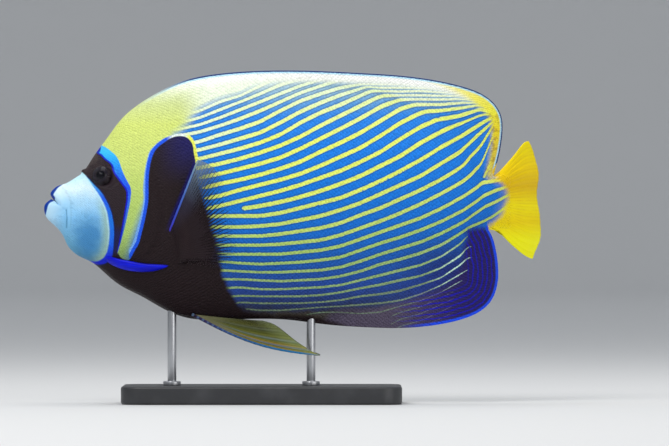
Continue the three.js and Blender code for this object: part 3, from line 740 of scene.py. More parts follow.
def lie_of_scales(row, share, reach, swing, side):
    """The skin's steps by row and share at each scale, and the ways outward, to its tip and upward."""
    step = 1e-3
    root = skin_point(row, share, side)
    by_row = (skin_point(row + step, share, side) - root) / step
    by_share = (skin_point(row, share + step, side) - root) / step
    outward = unit(np.cross(by_row, by_share) * -side)

    # The way to the tail on the sheet, as a step in row and share, turned towards the rays on the fins
    x0, y0 = on_sheet(row, share)
    xr, yr = on_sheet(row + step, share)
    xs, ys = on_sheet(row, share + step)
    across, down = ys - y0, yr - y0
    spread = (xr - x0) * across - (xs - x0) * down
    rearward = unit(by_row * (across / spread)[:, None] - by_share * (down / spread)[:, None])
    ray = unit(by_share * np.sign(share)[:, None])
    tipward = rearward + ray * (0.75 * smooth(reach, 0, 0.5) * smooth(row, 14, 22))[:, None]
    tipward = unit(tipward + np.cross(outward, tipward) * (side * swing)[:, None])
    return by_row, by_share, outward, tipward, np.cross(outward, tipward) * side


def tile_places(row, share, by_row, by_share, along, over):
    """Row and share of every corner of every tile, from its length and width laid out over the skin."""
    rr, rs, ss = (by_row**2).sum(1), (by_row * by_share).sum(1), (by_share**2).sum(1)
    spread = rr * ss - rs**2
    moved = []
    for ahead, across, _ in TILE:
        shift = (along * ahead + over * across) * MM
        pr, ps = (by_row * shift).sum(1), (by_share * shift).sum(1)
        moved.append(((pr * ss - ps * rs) / spread, (ps * rr - pr * rs) / spread))
    moved = np.array(moved).transpose(2, 0, 1)
    tile_row = np.clip(row[:, None] + moved[..., 0], 0, LAST)
    return tile_row, np.clip(share[:, None] + moved[..., 1], -0.9985, 0.9985)


def build_scales(material):
    """Overlapping scales over both sides, in three joined pieces a side."""
    row, share, x, reach, wide, arc = scale_roots()
    size = rng.normal(1, 0.05, len(row))
    swing = rng.normal(0, 0.07, len(row))
    tone = rng.normal(0, 1, len(row))
    height = mix(0.35, 1, smooth(x, 50, 165)) * mix(1, 0.6, reach)
    length, width = SCALE_LONG * COLUMN_SHARE * wide * size, SCALE_WIDE * wide * size
    third = np.digitize(x, [190, 330])
    unwrapped = np.stack([spine_length(x), arc], axis=1)
    share = np.clip(share, -0.985, 0.985)

    for side, word, order in ((LEFT, "left", 1), (RIGHT, "right", -1)):
        by_row, by_share, outward, tipward, upward = lie_of_scales(row, share, reach, swing, side)
        along, over = tipward * length[:, None], upward * width[:, None]
        tile_row, tile_share = tile_places(row, share, by_row, by_share, along, over)
        points = skin_point(tile_row, tile_share, side)
        points += outward[:, None] * (TILE[None, :, 2] * height[:, None] * MM)[..., None]
        field_row, field_share = mix(row[:, None], tile_row, 0.9), mix(share[:, None], tile_share, 0.9)
        values = markings(*(v.ravel() for v in (field_row, field_share, *on_sheet(field_row, field_share))))
        fields = {name: value.reshape(tile_row.shape) for name, value in values.items()}
        fields["mouth"] = np.zeros(tile_row.shape)
        fields["tone"] = np.repeat(tone[:, None], len(TILE), axis=1)
        fields["along"] = np.repeat(TILE[None, :, 0], len(row), axis=0)

        for number, part in enumerate(("front", "middle", "rear")):
            pick = third == number
            base = (np.arange(pick.sum()) * len(TILE))[:, None, None]
            quads = (base + TILE_QUADS[None, :, ::order]).reshape(-1, 4)
            tips = (base + TILE_TIPS[None, :, ::order]).reshape(-1, 3)
            roots = unwrapped[pick]
            spot = mix(0.01, 0.99, (roots - roots.min(axis=0)) / np.ptp(roots, axis=0))
            patch = spot[:, None] + (TILE[None, :, :2] - (0.45, 0)) * BAKE_PATCH
            corner = np.concatenate([quads.ravel(), tips.ravel()])
            picked = {name: value[pick].ravel() for name, value in fields.items()}
            corners, placed = patch.reshape(-1, 2)[corner], points[pick].reshape(-1, 3)
            piece = make_mesh(f"scales_{word}_{part}", placed, [quads, tips], picked, corners)
            finish_piece(piece, material, "flank_skin")


# Materials

def paint(red, green, blue):
    """A colour from its 0 to 255 values as seen on a screen."""
    shown = (red / 255, green / 255, blue / 255)
    return (*(c / 12.92 if c <= 0.04045 else ((c + 0.055) / 1.055) ** 2.4 for c in shown), 1)


class Board:
    """Places and joins the nodes of one material or group."""

    def __init__(self, tree):
        self.tree = tree

    def feed(self, node, sockets):
        """Links or sets each named input."""
        for key, value in sockets.items():
            if isinstance(value, bpy.types.NodeSocket):
                self.tree.links.new(value, node.inputs[key])
            else:
                node.inputs[key].default_value = value

    def node(self, kind, sockets=None, **settings):
        made = self.tree.nodes.new("ShaderNode" + kind)
        for name, value in settings.items():
            setattr(made, name, value)
        self.feed(made, sockets or {})
        return made

    def field(self, name):
        return self.node("Attribute", attribute_name=name).outputs["Fac"]

    def maths(self, operation, a, b=0.0, c=0.0):
        return self.node("Math", {0: a, 1: b, 2: c}, operation=operation).outputs[0]

    def times(self, a, b):
        return self.maths("MULTIPLY", a, b)

    def plus(self, a, b):
        return self.maths("ADD", a, b)

    def minus(self, a, b):
        return self.maths("SUBTRACT", a, b)

    def times_plus(self, a, b, c):
        return self.maths("MULTIPLY_ADD", a, b, c)

    def rise(self, value, start, end):
        """0 before start, 1 after end, smooth between."""
        sockets = {"Value": value, "From Min": start, "From Max": end}
        return self.node("MapRange", sockets, interpolation_type="SMOOTHSTEP").outputs[0]

    def fall(self, value, start, end):
        """1 before start, 0 after end, smooth between."""
        return self.minus(1, self.rise(value, start, end))

    def blend(self, share, below, above, how="MIX"):
        return self.node("Mix", {0: share, 6: below, 7: above}, data_type="RGBA", blend_type=how).outputs[2]

    def vary(self, colour, amount):
        """A colour made darker or lighter by an amount near 1."""
        grey = self.node("CombineColor", {0: amount, 1: amount, 2: amount}).outputs[0]
        return self.blend(1.0, colour, grey, "MULTIPLY")

    def gradient(self, value, stops):
        """Colours at values, blended between."""
        first, last = stops[0][0], stops[-1][0]
        share = self.node("MapRange", {"Value": value, "From Min": first, "From Max": last}).outputs[0]
        ramp = self.node("ValToRGB", {"Fac": share})
        points = ramp.color_ramp.elements
        for at, colour in stops[1:-1]:
            points.new((at - first) / (last - first)).color = paint(*colour)
        points[0].color, points[len(points) - 1].color = paint(*stops[0][1]), paint(*stops[-1][1])
        return ramp.outputs["Color"]

    def noise(self, where, scale, detail=2.0):
        return self.node("TexNoise", {"Vector": where, "Scale": scale, "Detail": detail}).outputs["Fac"]

    def where(self):
        return self.node("TexCoord").outputs["Object"]

    def stretched(self, scale):
        return self.node("Mapping", {"Vector": self.where(), "Scale": scale}).outputs[0]

    def bump(self, height, strength, distance):
        return self.node("Bump", {"Height": height, "Strength": strength, "Distance": distance}).outputs[0]


def new_group(name, inputs, outputs):
    tree = bpy.data.node_groups.new(name, "ShaderNodeTree")
    for label, (kind, value) in inputs.items():
        socket = tree.interface.new_socket(label, in_out="INPUT", socket_type="NodeSocket" + kind)
        socket.default_value = value
    for label, kind in outputs.items():
        tree.interface.new_socket(label, in_out="OUTPUT", socket_type="NodeSocket" + kind)
    return tree, tree.nodes.new("NodeGroupInput"), tree.nodes.new("NodeGroupOutput")


# Blue of the flank by height, darker towards the belly: partly the fish's own darker lower body, partly
# painted shade from light falling from above
FLANK = [
    (92, (150, 190, 215)), (104, (90, 155, 220)), (118, (45, 135, 232)), (150, (30, 130, 232)),
    (200, (22, 120, 220)), (235, (22, 108, 205)), (262, (30, 92, 180)), (285, (40, 76, 160)),
    (303, (46, 62, 112)), (316, (56, 54, 56)),
]
# Yellow of the stripes by height, greener and darker towards the belly: partly their own colour, partly
# painted shade from light falling from above
STRIPE = [
    (92, (232, 248, 205)), (112, (234, 248, 165)), (140, (238, 250, 115)), (190, (230, 244, 112)),
    (220, (206, 228, 118)), (252, (172, 206, 112)), (288, (150, 182, 124)), (306, (120, 140, 120)),
]
NAPE = [
    (70, (252, 253, 248)), (88, (224, 234, 194)), (104, (204, 217, 146)), (125, (212, 226, 122)),
    (160, (206, 222, 122)), (200, (186, 212, 112)), (235, (172, 204, 112)), (256, (130, 160, 96)),
]
MUZZLE_TONE = [
    (176, (190, 236, 250)), (188, (220, 243, 251)), (200, (176, 222, 251)), (216, (138, 202, 246)),
    (232, (122, 186, 226)), (248, (104, 168, 202)), (262, (80, 134, 166)),
]
MUZZLE_BAND_TONE = [
    (172, (90, 160, 200)), (180, (110, 200, 240)), (188, (56, 150, 238)), (198, (30, 90, 228)),
    (222, (30, 120, 232)), (242, (30, 104, 236)), (256, (20, 44, 214)), (268, (6, 16, 190)),
]
MASK_BAND_TONE = [
    (146, (70, 190, 250)), (152, (60, 196, 255)), (162, (40, 165, 248)), (174, (36, 120, 240)),
    (188, (30, 84, 236)), (204, (50, 112, 230)), (230, (54, 104, 205)), (250, (50, 90, 150)),
]


def ray_lines(board):
    """Waves of lines, two for each fin ray."""
    waves = board.maths("SINE", board.times(board.field("ray"), 4 * math.pi))
    return board.times(waves, board.field("ray_strength"))


class Pattern(Board):
    """A board with the places, noises and stripes that the regions of the fish share."""

    def __init__(self, tree):
        super().__init__(tree)
        self.x, self.y = self.field("sheet_x"), self.field("sheet_y")
        self.sheet = self.node("CombineXYZ", {"X": self.x, "Y": self.y}).outputs[0]
        self.drift = self.minus(self.noise(self.sheet, 0.09, 3), 0.5)
        self.fine = self.minus(self.noise(self.sheet, 0.9, 2), 0.5)
        self.margin = self.field("back_margin")
        fin_rear = self.times(self.rise(self.y, 98, 116), self.rise(self.x, 400, 440))
        self.raised = self.times_plus(fin_rear, 16, self.margin)
        number, half = self.field("stripe"), self.field("stripe_half")
        off = self.maths("ABSOLUTE", self.minus(number, self.maths("ROUND", number)))
        inside = self.minus(half, self.times(off, self.field("stripe_gap")))
        inside = self.plus(self.maths("MAXIMUM", inside, self.field("extra")), self.times(self.fine, 0.7))
        self.stripe = self.rise(inside, -0.4, 0.4)
        self.beside = self.times(self.rise(inside, -2.2, -0.5), self.rise(half, 0.5, 1.5))

    def cover(self, value, soft=0.45):
        return self.rise(value, -soft, soft)


def flank_colours(g):
    """Nape, flank and the stripes over the flank."""
    x, y = g.x, g.y
    blue = g.times(g.rise(g.field("blue"), -3, 11), g.rise(g.raised, 6, 15))
    nape = g.gradient(y, NAPE)
    saddle = g.times(g.rise(x, 176, 212), g.fall(y, 116, 140))
    nape = g.blend(g.times(saddle, 0.8), nape, paint(238, 248, 230))
    # The flank's blue by height, with painted shade towards the belly as well as its own darker lower colour
    flank = g.gradient(g.plus(y, g.times(g.drift, 14)), FLANK)
    deep = g.times(g.rise(x, 375, 458), g.rise(y, 225, 270))
    flank = g.blend(g.times(deep, 0.86), flank, paint(30, 34, 104))
    above = g.minus(g.times_plus(x, 0.451, -78.6), y)
    fin_part = g.times(g.rise(above, -1, 7), g.rise(x, 350, 385))
    fin_part = g.times(fin_part, g.fall(y, 97, 112))
    flank = g.blend(g.times(fin_part, 0.75), flank, paint(156, 198, 224))
    flank = g.blend(g.times(g.beside, 0.45), flank, paint(12, 64, 116))
    # The stripes' yellow by height, with painted shade towards the belly as well as their own greener lower
    # colour
    pale = g.gradient(g.times_plus(g.rise(x, 330, 430), 20, y), STRIPE)
    shoulder = g.times(g.fall(x, 200, 270), g.fall(y, 140, 172))
    pale = g.blend(g.times(shoulder, 0.75), pale, paint(228, 246, 224))
    cool = g.times(g.rise(x, 424, 456), g.rise(y, 236, 268))
    pale = g.blend(cool, pale, paint(206, 242, 222))
    pale = g.blend(g.times(g.rise(x, 405, 440), g.rise(y, 286, 300)), pale, paint(124, 96, 186))
    pale = g.blend(fin_part, pale, paint(240, 250, 210))
    colour = g.blend(g.times(blue, g.minus(1, g.stripe)), nape, flank)
    return g.blend(g.times(blue, g.stripe), colour, pale)


def dorsal_colours(g, colour):
    """Dorsal fin: white under a thin dark margin, golden at the rear."""
    x, y = g.x, g.y
    white = g.times(g.fall(g.raised, 5, 13), g.rise(x, 150, 230))
    colour = g.blend(white, colour, paint(252, 253, 249))
    gold = g.rise(g.plus(g.field("gold"), g.times(g.fine, 4)), -4, 3.5)
    gold_tone = g.gradient(y, [
        (86, (254, 248, 160)), (98, (255, 246, 104)), (112, (255, 250, 72)), (130, (250, 228, 40)),
        (150, (236, 212, 64)), (176, (232, 220, 92)),
    ])
    ochre = g.times(g.rise(g.noise(g.sheet, 0.22, 3), 0.46, 0.62), g.rise(y, 100, 125))
    gold_tone = g.blend(g.times(ochre, 0.6), gold_tone, paint(176, 138, 44))
    colour = g.blend(gold, colour, gold_tone)
    rim_on = g.rise(x, 130, 200)
    pale_rim = g.times(rim_on, g.fall(g.margin, 2.2, 3.6))
    colour = g.blend(pale_rim, colour, paint(190, 234, 252))
    dark_rim = g.times(rim_on, g.fall(g.margin, 1.1, 1.9))
    return g.blend(dark_rim, colour, paint(14, 52, 118))


def lower_colours(g, colour):
    """Lower edge and anal fin: dark, with blue lines that follow its margin."""
    x, y = g.x, g.y
    lower = g.gradient(x, [
        (200, (48, 36, 40)), (300, (86, 80, 68)), (370, (88, 84, 86)), (430, (86, 80, 118)),
        (500, (50, 48, 112)),
    ])
    under = g.times(g.rise(g.plus(y, g.times(g.drift, 6)), 308, 318), g.rise(x, 215, 260))
    colour = g.blend(g.times(under, g.minus(1, g.stripe)), colour, lower)
    lobe = g.rise(g.times_plus(g.rise(y, 232, 250), 8, g.field("lobe")), -4, 5)
    edge = g.field("anal_margin")
    lobe_tone = g.blend(g.rise(x, 380, 470), paint(84, 76, 96), paint(38, 30, 96))
    colour = g.blend(g.times(lobe, g.minus(1, g.times(g.stripe, 0.7))), colour, lobe_tone)
    ripple = g.maths("PINGPONG", g.plus(g.minus(edge, 4.4), g.times(g.drift, 4)), 2.4)
    lines = g.rise(g.plus(ripple, g.times(g.fine, 0.6)), 1.3, 2.1)
    lines = g.times(lines, g.fall(edge, 26, 36))
    lines = g.times(g.times(lines, g.rise(edge, 4, 6)), g.times(lobe, g.rise(x, 385, 440)))
    colour = g.blend(g.times(lines, 0.85), colour, paint(20, 16, 182))
    rim = g.times(g.fall(edge, 2.2, 3.8), g.rise(x, 395, 440))
    return g.blend(rim, colour, paint(26, 76, 238))


def tail_colours(g, colour):
    """Tail fin, and the violet blend where the stripes run out on it."""
    x, y = g.x, g.y
    tail = g.field("tail")
    blend_zone = g.times(g.rise(tail, -14, -1), 0.45)
    colour = g.blend(g.times(blend_zone, g.minus(1, g.stripe)), colour, paint(150, 150, 190))
    # The fin's yellow by height: the darker band near y 186 is painted shade in a fold of the fin, and the
    # brighter bands near y 206 and 240 are painted highlights
    tail_tone = g.gradient(y, [
        (140, (255, 236, 6)), (168, (250, 216, 4)), (186, (236, 194, 4)), (206, (255, 236, 6)),
        (222, (246, 218, 4)), (240, (255, 250, 6)), (258, (255, 252, 8)),
    ])
    rays = g.times(g.rise(ray_lines(g), -0.2, 0.9), g.fall(y, 205, 250))
    rays = g.times(rays, g.times_plus(g.rise(x, 500, 535), -0.16, 0.3))
    rays = g.times(rays, g.rise(g.noise(g.sheet, 0.14, 2), 0.3, 0.6))
    tail_tone = g.blend(rays, tail_tone, paint(206, 150, 6))
    return g.blend(g.rise(g.plus(tail, g.times(g.fine, 9)), -6, 4), colour, tail_tone)


def breast_colours(g, colour):
    """Black breast and shoulder patch with their edging."""
    x, y = g.x, g.y
    outer = g.cover(g.field("patch_edge"), 0.6)
    black = g.field("black")
    ring = g.blend(g.rise(black, -3.9, -2.9), paint(120, 172, 240), paint(28, 88, 232))
    ring = g.blend(g.rise(x, 166, 174), ring, paint(232, 244, 238))
    ring = g.blend(g.rise(x, 184, 190), ring, paint(236, 242, 96))
    colour = g.blend(outer, colour, ring)
    soft = g.times_plus(g.rise(x, 195, 212), 3, 0.5)
    shade = g.times_plus(g.rise(x, 196, 210), g.times(g.drift, 6), black)
    ink = g.rise(shade, g.times(soft, -1), soft)
    navy = g.times(g.fall(y, 140, 190), g.rise(x, 150, 190))
    black_tone = g.blend(g.times(navy, 0.8), paint(34, 23, 26), paint(28, 28, 98))
    ahead = g.times_plus(x, 0.925, g.times_plus(y, 0.381, -245.2))
    sheen = g.times(g.rise(ahead, -6, -0.5), g.fall(ahead, 0.5, 2.5))
    sheen = g.times(sheen, g.fall(y, 214, 234))
    black_tone = g.blend(g.times(sheen, 0.85), black_tone, paint(14, 18, 128))
    return g.blend(ink, colour, black_tone)


def mask_colours(g, colour):
    """Front of the face: from the outside in, band, mask and band."""
    x, y = g.x, g.y
    mask, band = g.field("mask"), g.field("mask_band")
    beside_mask = g.fall(g.times(mask, -1), 0.9, 2.2)
    band_tone = g.blend(beside_mask, g.gradient(y, MASK_BAND_TONE), paint(10, 14, 196))
    top_end = g.fall(g.times_plus(g.rise(x, 100, 103), 9, g.margin), 1.6, 2.8)
    band_tone = g.blend(top_end, band_tone, paint(2, 30, 176))
    colour = g.blend(g.cover(band), colour, band_tone)
    brow = g.times(g.fall(x, 88, 106), g.fall(y, 158, 180))
    swirl = g.rise(g.noise(g.sheet, 0.16, 2), 0.42, 0.62)
    brow = g.times(brow, g.times_plus(swirl, 0.6, 0.3))
    mask_tone = g.blend(brow, paint(42, 32, 38), paint(84, 74, 70))
    low = g.times(g.rise(y, 222, 236), g.fall(y, 250, 258))
    mask_tone = g.blend(low, mask_tone, paint(30, 30, 78))
    mask_tone = g.blend(g.rise(y, 250, 258), mask_tone, paint(34, 23, 26))
    colour = g.blend(g.cover(mask), colour, mask_tone)
    front_band = g.field("muzzle_band")
    front_tone = g.blend(g.rise(front_band, 0.5, 1.5), paint(18, 32, 92), g.gradient(y, MUZZLE_BAND_TONE))
    return g.blend(g.cover(front_band), colour, front_tone)


def muzzle_colours(g, colour):
    """Muzzle, lips and mouth."""
    x, y = g.x, g.y
    muzzle = g.field("muzzle")
    tone = g.gradient(g.plus(y, g.times(g.drift, 14)), MUZZLE_TONE)
    from_middle = g.node("CombineXYZ", {
        "X": g.times_plus(x, 1 / 19, -87 / 19), "Y": g.times_plus(y, 1 / 27, -237 / 27),
    }).outputs[0]
    middle = g.node("VectorMath", {0: from_middle}, operation="LENGTH").outputs["Value"]
    middle = g.fall(g.times_plus(g.drift, 0.8, middle), 0.25, 1.15)
    tone = g.blend(g.times(middle, 0.85), tone, paint(62, 134, 194))
    tone = g.blend(g.times(g.fall(x, 44, 66), 0.55), tone, paint(214, 240, 250))
    olive = g.times(g.fall(muzzle, 1.5, 12), g.rise(y, 192, 214))
    olive = g.times(olive, g.times(g.rise(x, 88, 101), 0.66))
    tone = g.blend(olive, tone, paint(164, 192, 160))
    bright = g.fall(g.maths("ABSOLUTE", g.minus(muzzle, 1.1)), 0.3, 1.3)
    bright = g.times(bright, g.times(g.rise(x, 84, 92), g.fall(y, 225, 258)))
    tone = g.blend(g.times(bright, 0.6), tone, paint(186, 234, 254))
    colour = g.blend(g.rise(muzzle, -0.8, 0.8), colour, tone)
    # A darker line along the jaw crease: painted shade in the crease
    crease = g.fall(g.field("crease"), 0.3, 1.1)
    colour = g.blend(g.times(crease, 0.6), colour, paint(50, 118, 160))
    lip = g.fall(g.field("lip"), 2.6, 3.8)
    colour = g.blend(lip, colour, paint(0, 56, 154))
    return g.blend(g.field("mouth"), colour, paint(66, 54, 62))


REGIONS = (dorsal_colours, lower_colours, tail_colours, breast_colours, mask_colours, muzzle_colours)


def markings_group():
    """The whole coloured pattern of the fish, from the fields on a mesh."""
    outputs = {"Colour": "Color", "Gloss": "Float"}
    tree, start, end = new_group("angelfish_markings", {"Speckle": ("Float", 0.05)}, outputs)
    g = Pattern(tree)
    colour = flank_colours(g)
    for region in REGIONS:
        colour = region(g, colour)

    # Each scale has a tone of its own, and painted shade at its root, where the scale ahead covers it, giving
    # way to a slightly lighter tip
    own = g.plus(g.times(g.field("tone"), 0.5), g.fine)
    scale_root_shade = g.times_plus(g.rise(g.field("along"), 0.4, 1), 0.2, 0.89)
    colour = g.vary(colour, g.plus(scale_root_shade, g.times(own, start.outputs["Speckle"])))
    g.feed(end, {"Colour": colour, "Gloss": g.plus(0.46, g.times(g.drift, 0.12))})
    return tree


def new_material(name):
    """A material with its one shader, and the board for its nodes."""
    material = bpy.data.materials.new(name)
    material.use_nodes = True
    board = Board(material.node_tree)
    return material, board, material.node_tree.nodes["Principled BSDF"]


def fish_finish(name, group, speckle):
    """Painted wet skin: the markings, fine grain, and ray lines on the fins."""
    material, board, shader = new_material(name)
    marks = board.node("Group", node_tree=group)
    board.feed(marks, {"Speckle": speckle})
    grain = board.noise(board.where(), 900, 3)
    height = board.plus(board.times(grain, 0.35), board.times(ray_lines(board), 0.5))
    board.feed(shader, {
        "Base Color": marks.outputs["Colour"], "Roughness": marks.outputs["Gloss"],
        "Specular IOR Level": 0.14, "Normal": board.bump(height, 0.5, 0.12 * MM),
    })
    return material


# Paired fins, eyes and cheek spines

MEMBRANE_HALF, RAY_SIDES = 0.09, 8


def fan_fin(fin, word, side, at, rays, radii, lead, material, slot):
    """A membrane with tapering rays: at(t, out) gives sheet x, y and the distance aside in millimetres.

    A ray's radius falls from the first of the radii to the second. The front ray is lead times as thick.
    """
    t, out = np.meshgrid(np.linspace(0, 1, 4 * rays + 1), np.linspace(0, 1, 33), indexing="ij")
    x, y, aside = at(t, out)
    aside = aside + 0.18 * np.cos(2 * np.pi * rays * t) * smooth(out, 0, 0.4)
    points = [place(x, y, side * (aside + half)).reshape(-1, 3) for half in (MEMBRANE_HALF, -MEMBRANE_HALF)]
    rows, cols = t.shape
    i, j = np.meshgrid(np.arange(rows - 1), np.arange(cols - 1), indexing="ij")
    a = (i * cols + j).ravel()
    top = np.stack([a, a + 1, a + cols + 1, a + cols], axis=1)
    loop = np.concatenate([
        np.arange(cols), np.arange(1, rows) * cols + cols - 1,
        (rows - 1) * cols + np.arange(cols - 2, -1, -1), np.arange(rows - 2, 0, -1) * cols,
    ])
    after = np.roll(loop, -1)
    quads = [top, top[:, ::-1] + t.size, np.stack([loop, loop + t.size, after + t.size, after], axis=1)]
    values = [(np.zeros(t.size), out.ravel(), t.ravel())] * 2

    # Rays: round and jointed, thickest at the root
    turn = np.linspace(0, 2 * np.pi, RAY_SIDES + 1)[:-1, None]
    steps = np.linspace(0, 0.992, 41)
    tips, start = [], 2 * t.size
    for r in range(rays + 1):
        x, y, aside = at(np.full(steps.shape, r / rays), steps)
        centre = place(x, y, side * aside)
        thick = mix(*radii, steps**0.8) * (lead if r == 0 else 1) * smooth(1.02 - steps, 0, 0.06)
        thick *= 1 + 0.1 * np.cos(2 * np.pi * steps * 26) * smooth(steps, 0.2, 0.5)
        forward = unit(np.gradient(centre, axis=0))
        sideways = unit(np.cross(forward, (0, 1, 0)))
        ring = np.cos(turn) * sideways[:, None] + 0.75 * np.sin(turn) * np.cross(sideways, forward)[:, None]
        tube = centre[:, None] + ring * (thick * MM)[:, None, None]
        points += [tube.reshape(-1, 3), centre[[0, -1]]]
        quads.append(tube_quads(len(steps), RAY_SIDES, start))
        tips.append(end_caps(len(steps), RAY_SIDES, start))
        start += len(steps) * RAY_SIDES + 2
        shares = np.concatenate([np.repeat(steps, RAY_SIDES), [0, 1]])
        values.append((np.ones(len(shares)), shares, np.full(len(shares), r / rays)))
    fields = dict(zip(("ray", "out", "lead"), (np.concatenate(column) for column in zip(*values))))
    faces = [np.concatenate(quads), np.concatenate(tips)]
    piece = make_mesh(f"{fin}_{word}", np.concatenate(points), faces, fields)
    face_outward(piece)
    finish_piece(piece, material, slot, f"{fin}_fin_{word}")


def pick_only(piece):
    bpy.ops.object.select_all(action="DESELECT")
    bpy.context.view_layer.objects.active = piece
    piece.select_set(True)


def face_outward(piece):
    """Turns every face of a piece to point out of it."""
    pick_only(piece)
    bpy.ops.object.mode_set(mode="EDIT")
    bpy.ops.mesh.select_all(action="SELECT")
    bpy.ops.mesh.normals_make_consistent(inside=False)
    bpy.ops.object.mode_set(mode="OBJECT")
    piece.select_set(False)


pectoral_margin = along([(199, 160), (213, 167), (225, 183), (233, 204), (237, 226), (237, 248), (230, 269)])
pectoral_root = along([(170.5, 231), (176, 262)])


def pectoral_at(t, out):
    (mx, my), (rx, ry) = pectoral_margin(t), pectoral_root(t)
    x, y = mix(rx, mx, out), mix(ry, my, out)
    splay = 0.15 * out * GRID / MM * np.hypot(x - rx, y - ry)
    sunk = 1.7 * (1 - smooth(out, 0, 0.1))
    return x, y, surface_at(x, y) + 0.55 + mix(0.9, 0.3, out) + splay - sunk


pelvic_tips = along([(321, 355), (313, 351.5), (300, 344), (287, 334), (275, 325), (264, 321)])
pelvic_root = along([(192, 314), (206, 316)])
pelvic_bow = spline([9, 7, 5, 3, 1.5, 0.5])


def pelvic_at(t, out):
    (mx, my), (rx, ry) = pelvic_tips(t), pelvic_root(t)
    bow = pelvic_bow(t * 5) * np.sin(np.pi * out)
    start = surface_at(rx, ry) + 0.55 + mix(0.9, 0.3, out)
    return mix(rx, mx, out), mix(ry, my, out) + bow, mix(start, mix(15, 9, t), out)


def fin_finish(name, paint_fin):
    """A thin fin's material: paint_fin gives colour and cover from the board, ray, out and lead."""
    material, board, shader = new_material(name)
    colour, cover = paint_fin(board, board.field("ray"), board.field("out"), board.field("lead"))
    colour = board.vary(colour, board.plus(0.88, board.times(board.noise(board.where(), 260, 4), 0.24)))
    board.feed(shader, {"Base Color": colour, "Alpha": cover, "Roughness": 0.42, "Specular IOR Level": 0.12})
    return material


def pectoral_paint(board, ray, out, lead):
    """Dark at the root, breaking up along the rays to a clear margin, with a pale blue front ray."""
    back = board.rise(lead, 0.05, 0.36)
    dark = board.gradient(out, [
        (0, (34, 23, 26)), (0.6, (36, 26, 31)), (0.8, (32, 34, 62)), (1, (30, 52, 110)),
    ])
    upper = board.gradient(out, [
        (0, (34, 23, 26)), (0.45, (46, 44, 62)), (0.7, (76, 88, 106)), (1, (132, 150, 160)),
    ])
    colour = board.blend(back, upper, dark)
    inner = board.times(board.rise(out, 0.1, 0.45), board.fall(out, 0.62, 0.8))
    colour = board.blend(board.times(ray, board.times(inner, 0.6)), colour, paint(66, 52, 54))
    first = board.gradient(out, [
        (0, (66, 56, 186)), (0.2, (56, 74, 190)), (0.5, (74, 108, 190)), (0.8, (104, 136, 180)),
        (1, (150, 172, 160)),
    ])
    front = board.times(ray, board.fall(lead, 0.0, 0.02))
    colour = board.blend(front, colour, first)

    turns = board.maths("COSINE", board.times(lead, 2 * math.pi * PECTORAL_RAYS))
    fan = board.node("CombineXYZ", {"X": board.times(lead, 55), "Y": board.times(out, 5)})
    ragged = board.minus(board.noise(fan.outputs[0], 1.0, 2), 0.5)
    ends = board.maths("ABSOLUTE", board.minus(lead, 0.5))
    reach = board.minus(out, board.times(board.rise(ends, 0.2, 0.5), 0.13))
    reach = board.times_plus(ragged, 0.34, reach)
    level = board.times_plus(board.minus(0.8, reach), 3, board.times_plus(turns, 0.5, 0.5))
    membrane = board.times(board.rise(level, 0.85, 1.15), 0.97)
    haze = board.times(board.minus(1, back), board.minus(0.62, board.times(out, 0.2)))
    membrane = board.maths("MAXIMUM", membrane, haze)
    rays = board.times_plus(board.rise(reach, 0.7, 0.95), -0.93, 1)
    pale_ends = board.times(board.fall(lead, 0.1, 0.42), 0.72)
    rays = board.maths("MAXIMUM", rays, front)
    rays = board.maths("MAXIMUM", rays, board.maths("MAXIMUM", haze, pale_ends))
    lower = board.times(board.rise(lead, 0.88, 0.985), board.rise(out, 0.06, 0.25))
    cover = board.node("Mix", {0: ray, 2: membrane, 3: rays}).outputs[0]
    return colour, board.times(cover, board.times_plus(lower, -0.92, 1))


def pelvic_paint(board, ray, out, lead):
    """Blue along the front, then olive and grey-blue bands that thin out towards the rear."""
    bands = board.gradient(lead, [
        (0, (38, 66, 122)), (0.07, (62, 98, 130)), (0.12, (150, 128, 44)), (0.2, (94, 98, 40)),
        (0.25, (102, 114, 134)), (0.31, (138, 118, 42)), (0.39, (84, 92, 38)), (0.44, (96, 110, 104)),
        (0.5, (94, 96, 34)), (0.6, (68, 74, 28)), (0.66, (82, 88, 64)), (0.74, (76, 78, 30)),
        (1, (60, 62, 26)),
    ])
    root = board.fall(out, 0.0, 0.4)
    bands = board.blend(board.times(root, 0.75), bands, paint(66, 50, 38))
    bands = board.blend(board.times(board.rise(out, 0.7, 1), 0.4), bands, paint(150, 164, 104))
    first = board.gradient(out, [
        (0, (34, 26, 32)), (0.1, (46, 36, 84)), (0.3, (50, 80, 136)), (0.6, (26, 104, 160)),
        (0.85, (6, 118, 180)), (1, (146, 150, 118)),
    ])
    beads = board.rise(board.maths("SINE", board.times(out, 2 * math.pi * 26)), -0.3, 0.9)
    beads = board.times(beads, board.minus(0.45, board.times(out, 0.45)))
    first = board.blend(beads, first, paint(104, 136, 172))
    front = board.times(ray, board.fall(lead, 0.02, 0.1))
    colour = board.blend(front, board.blend(board.times(ray, 0.25), bands, paint(150, 156, 116)), first)
    thin = board.times(board.rise(lead, 0.45, 1), board.rise(out, 0.35, 0.9))
    return colour, board.times_plus(thin, -0.6, 0.97)


spine_line = along([(106, 258.6), (117, 262.8), (130, 265.8), (145, 267.6), (158, 267.2), (169, 265.6)])
spine_height = spline([3.6, 4.6, 5, 4.3, 3, 0.7])


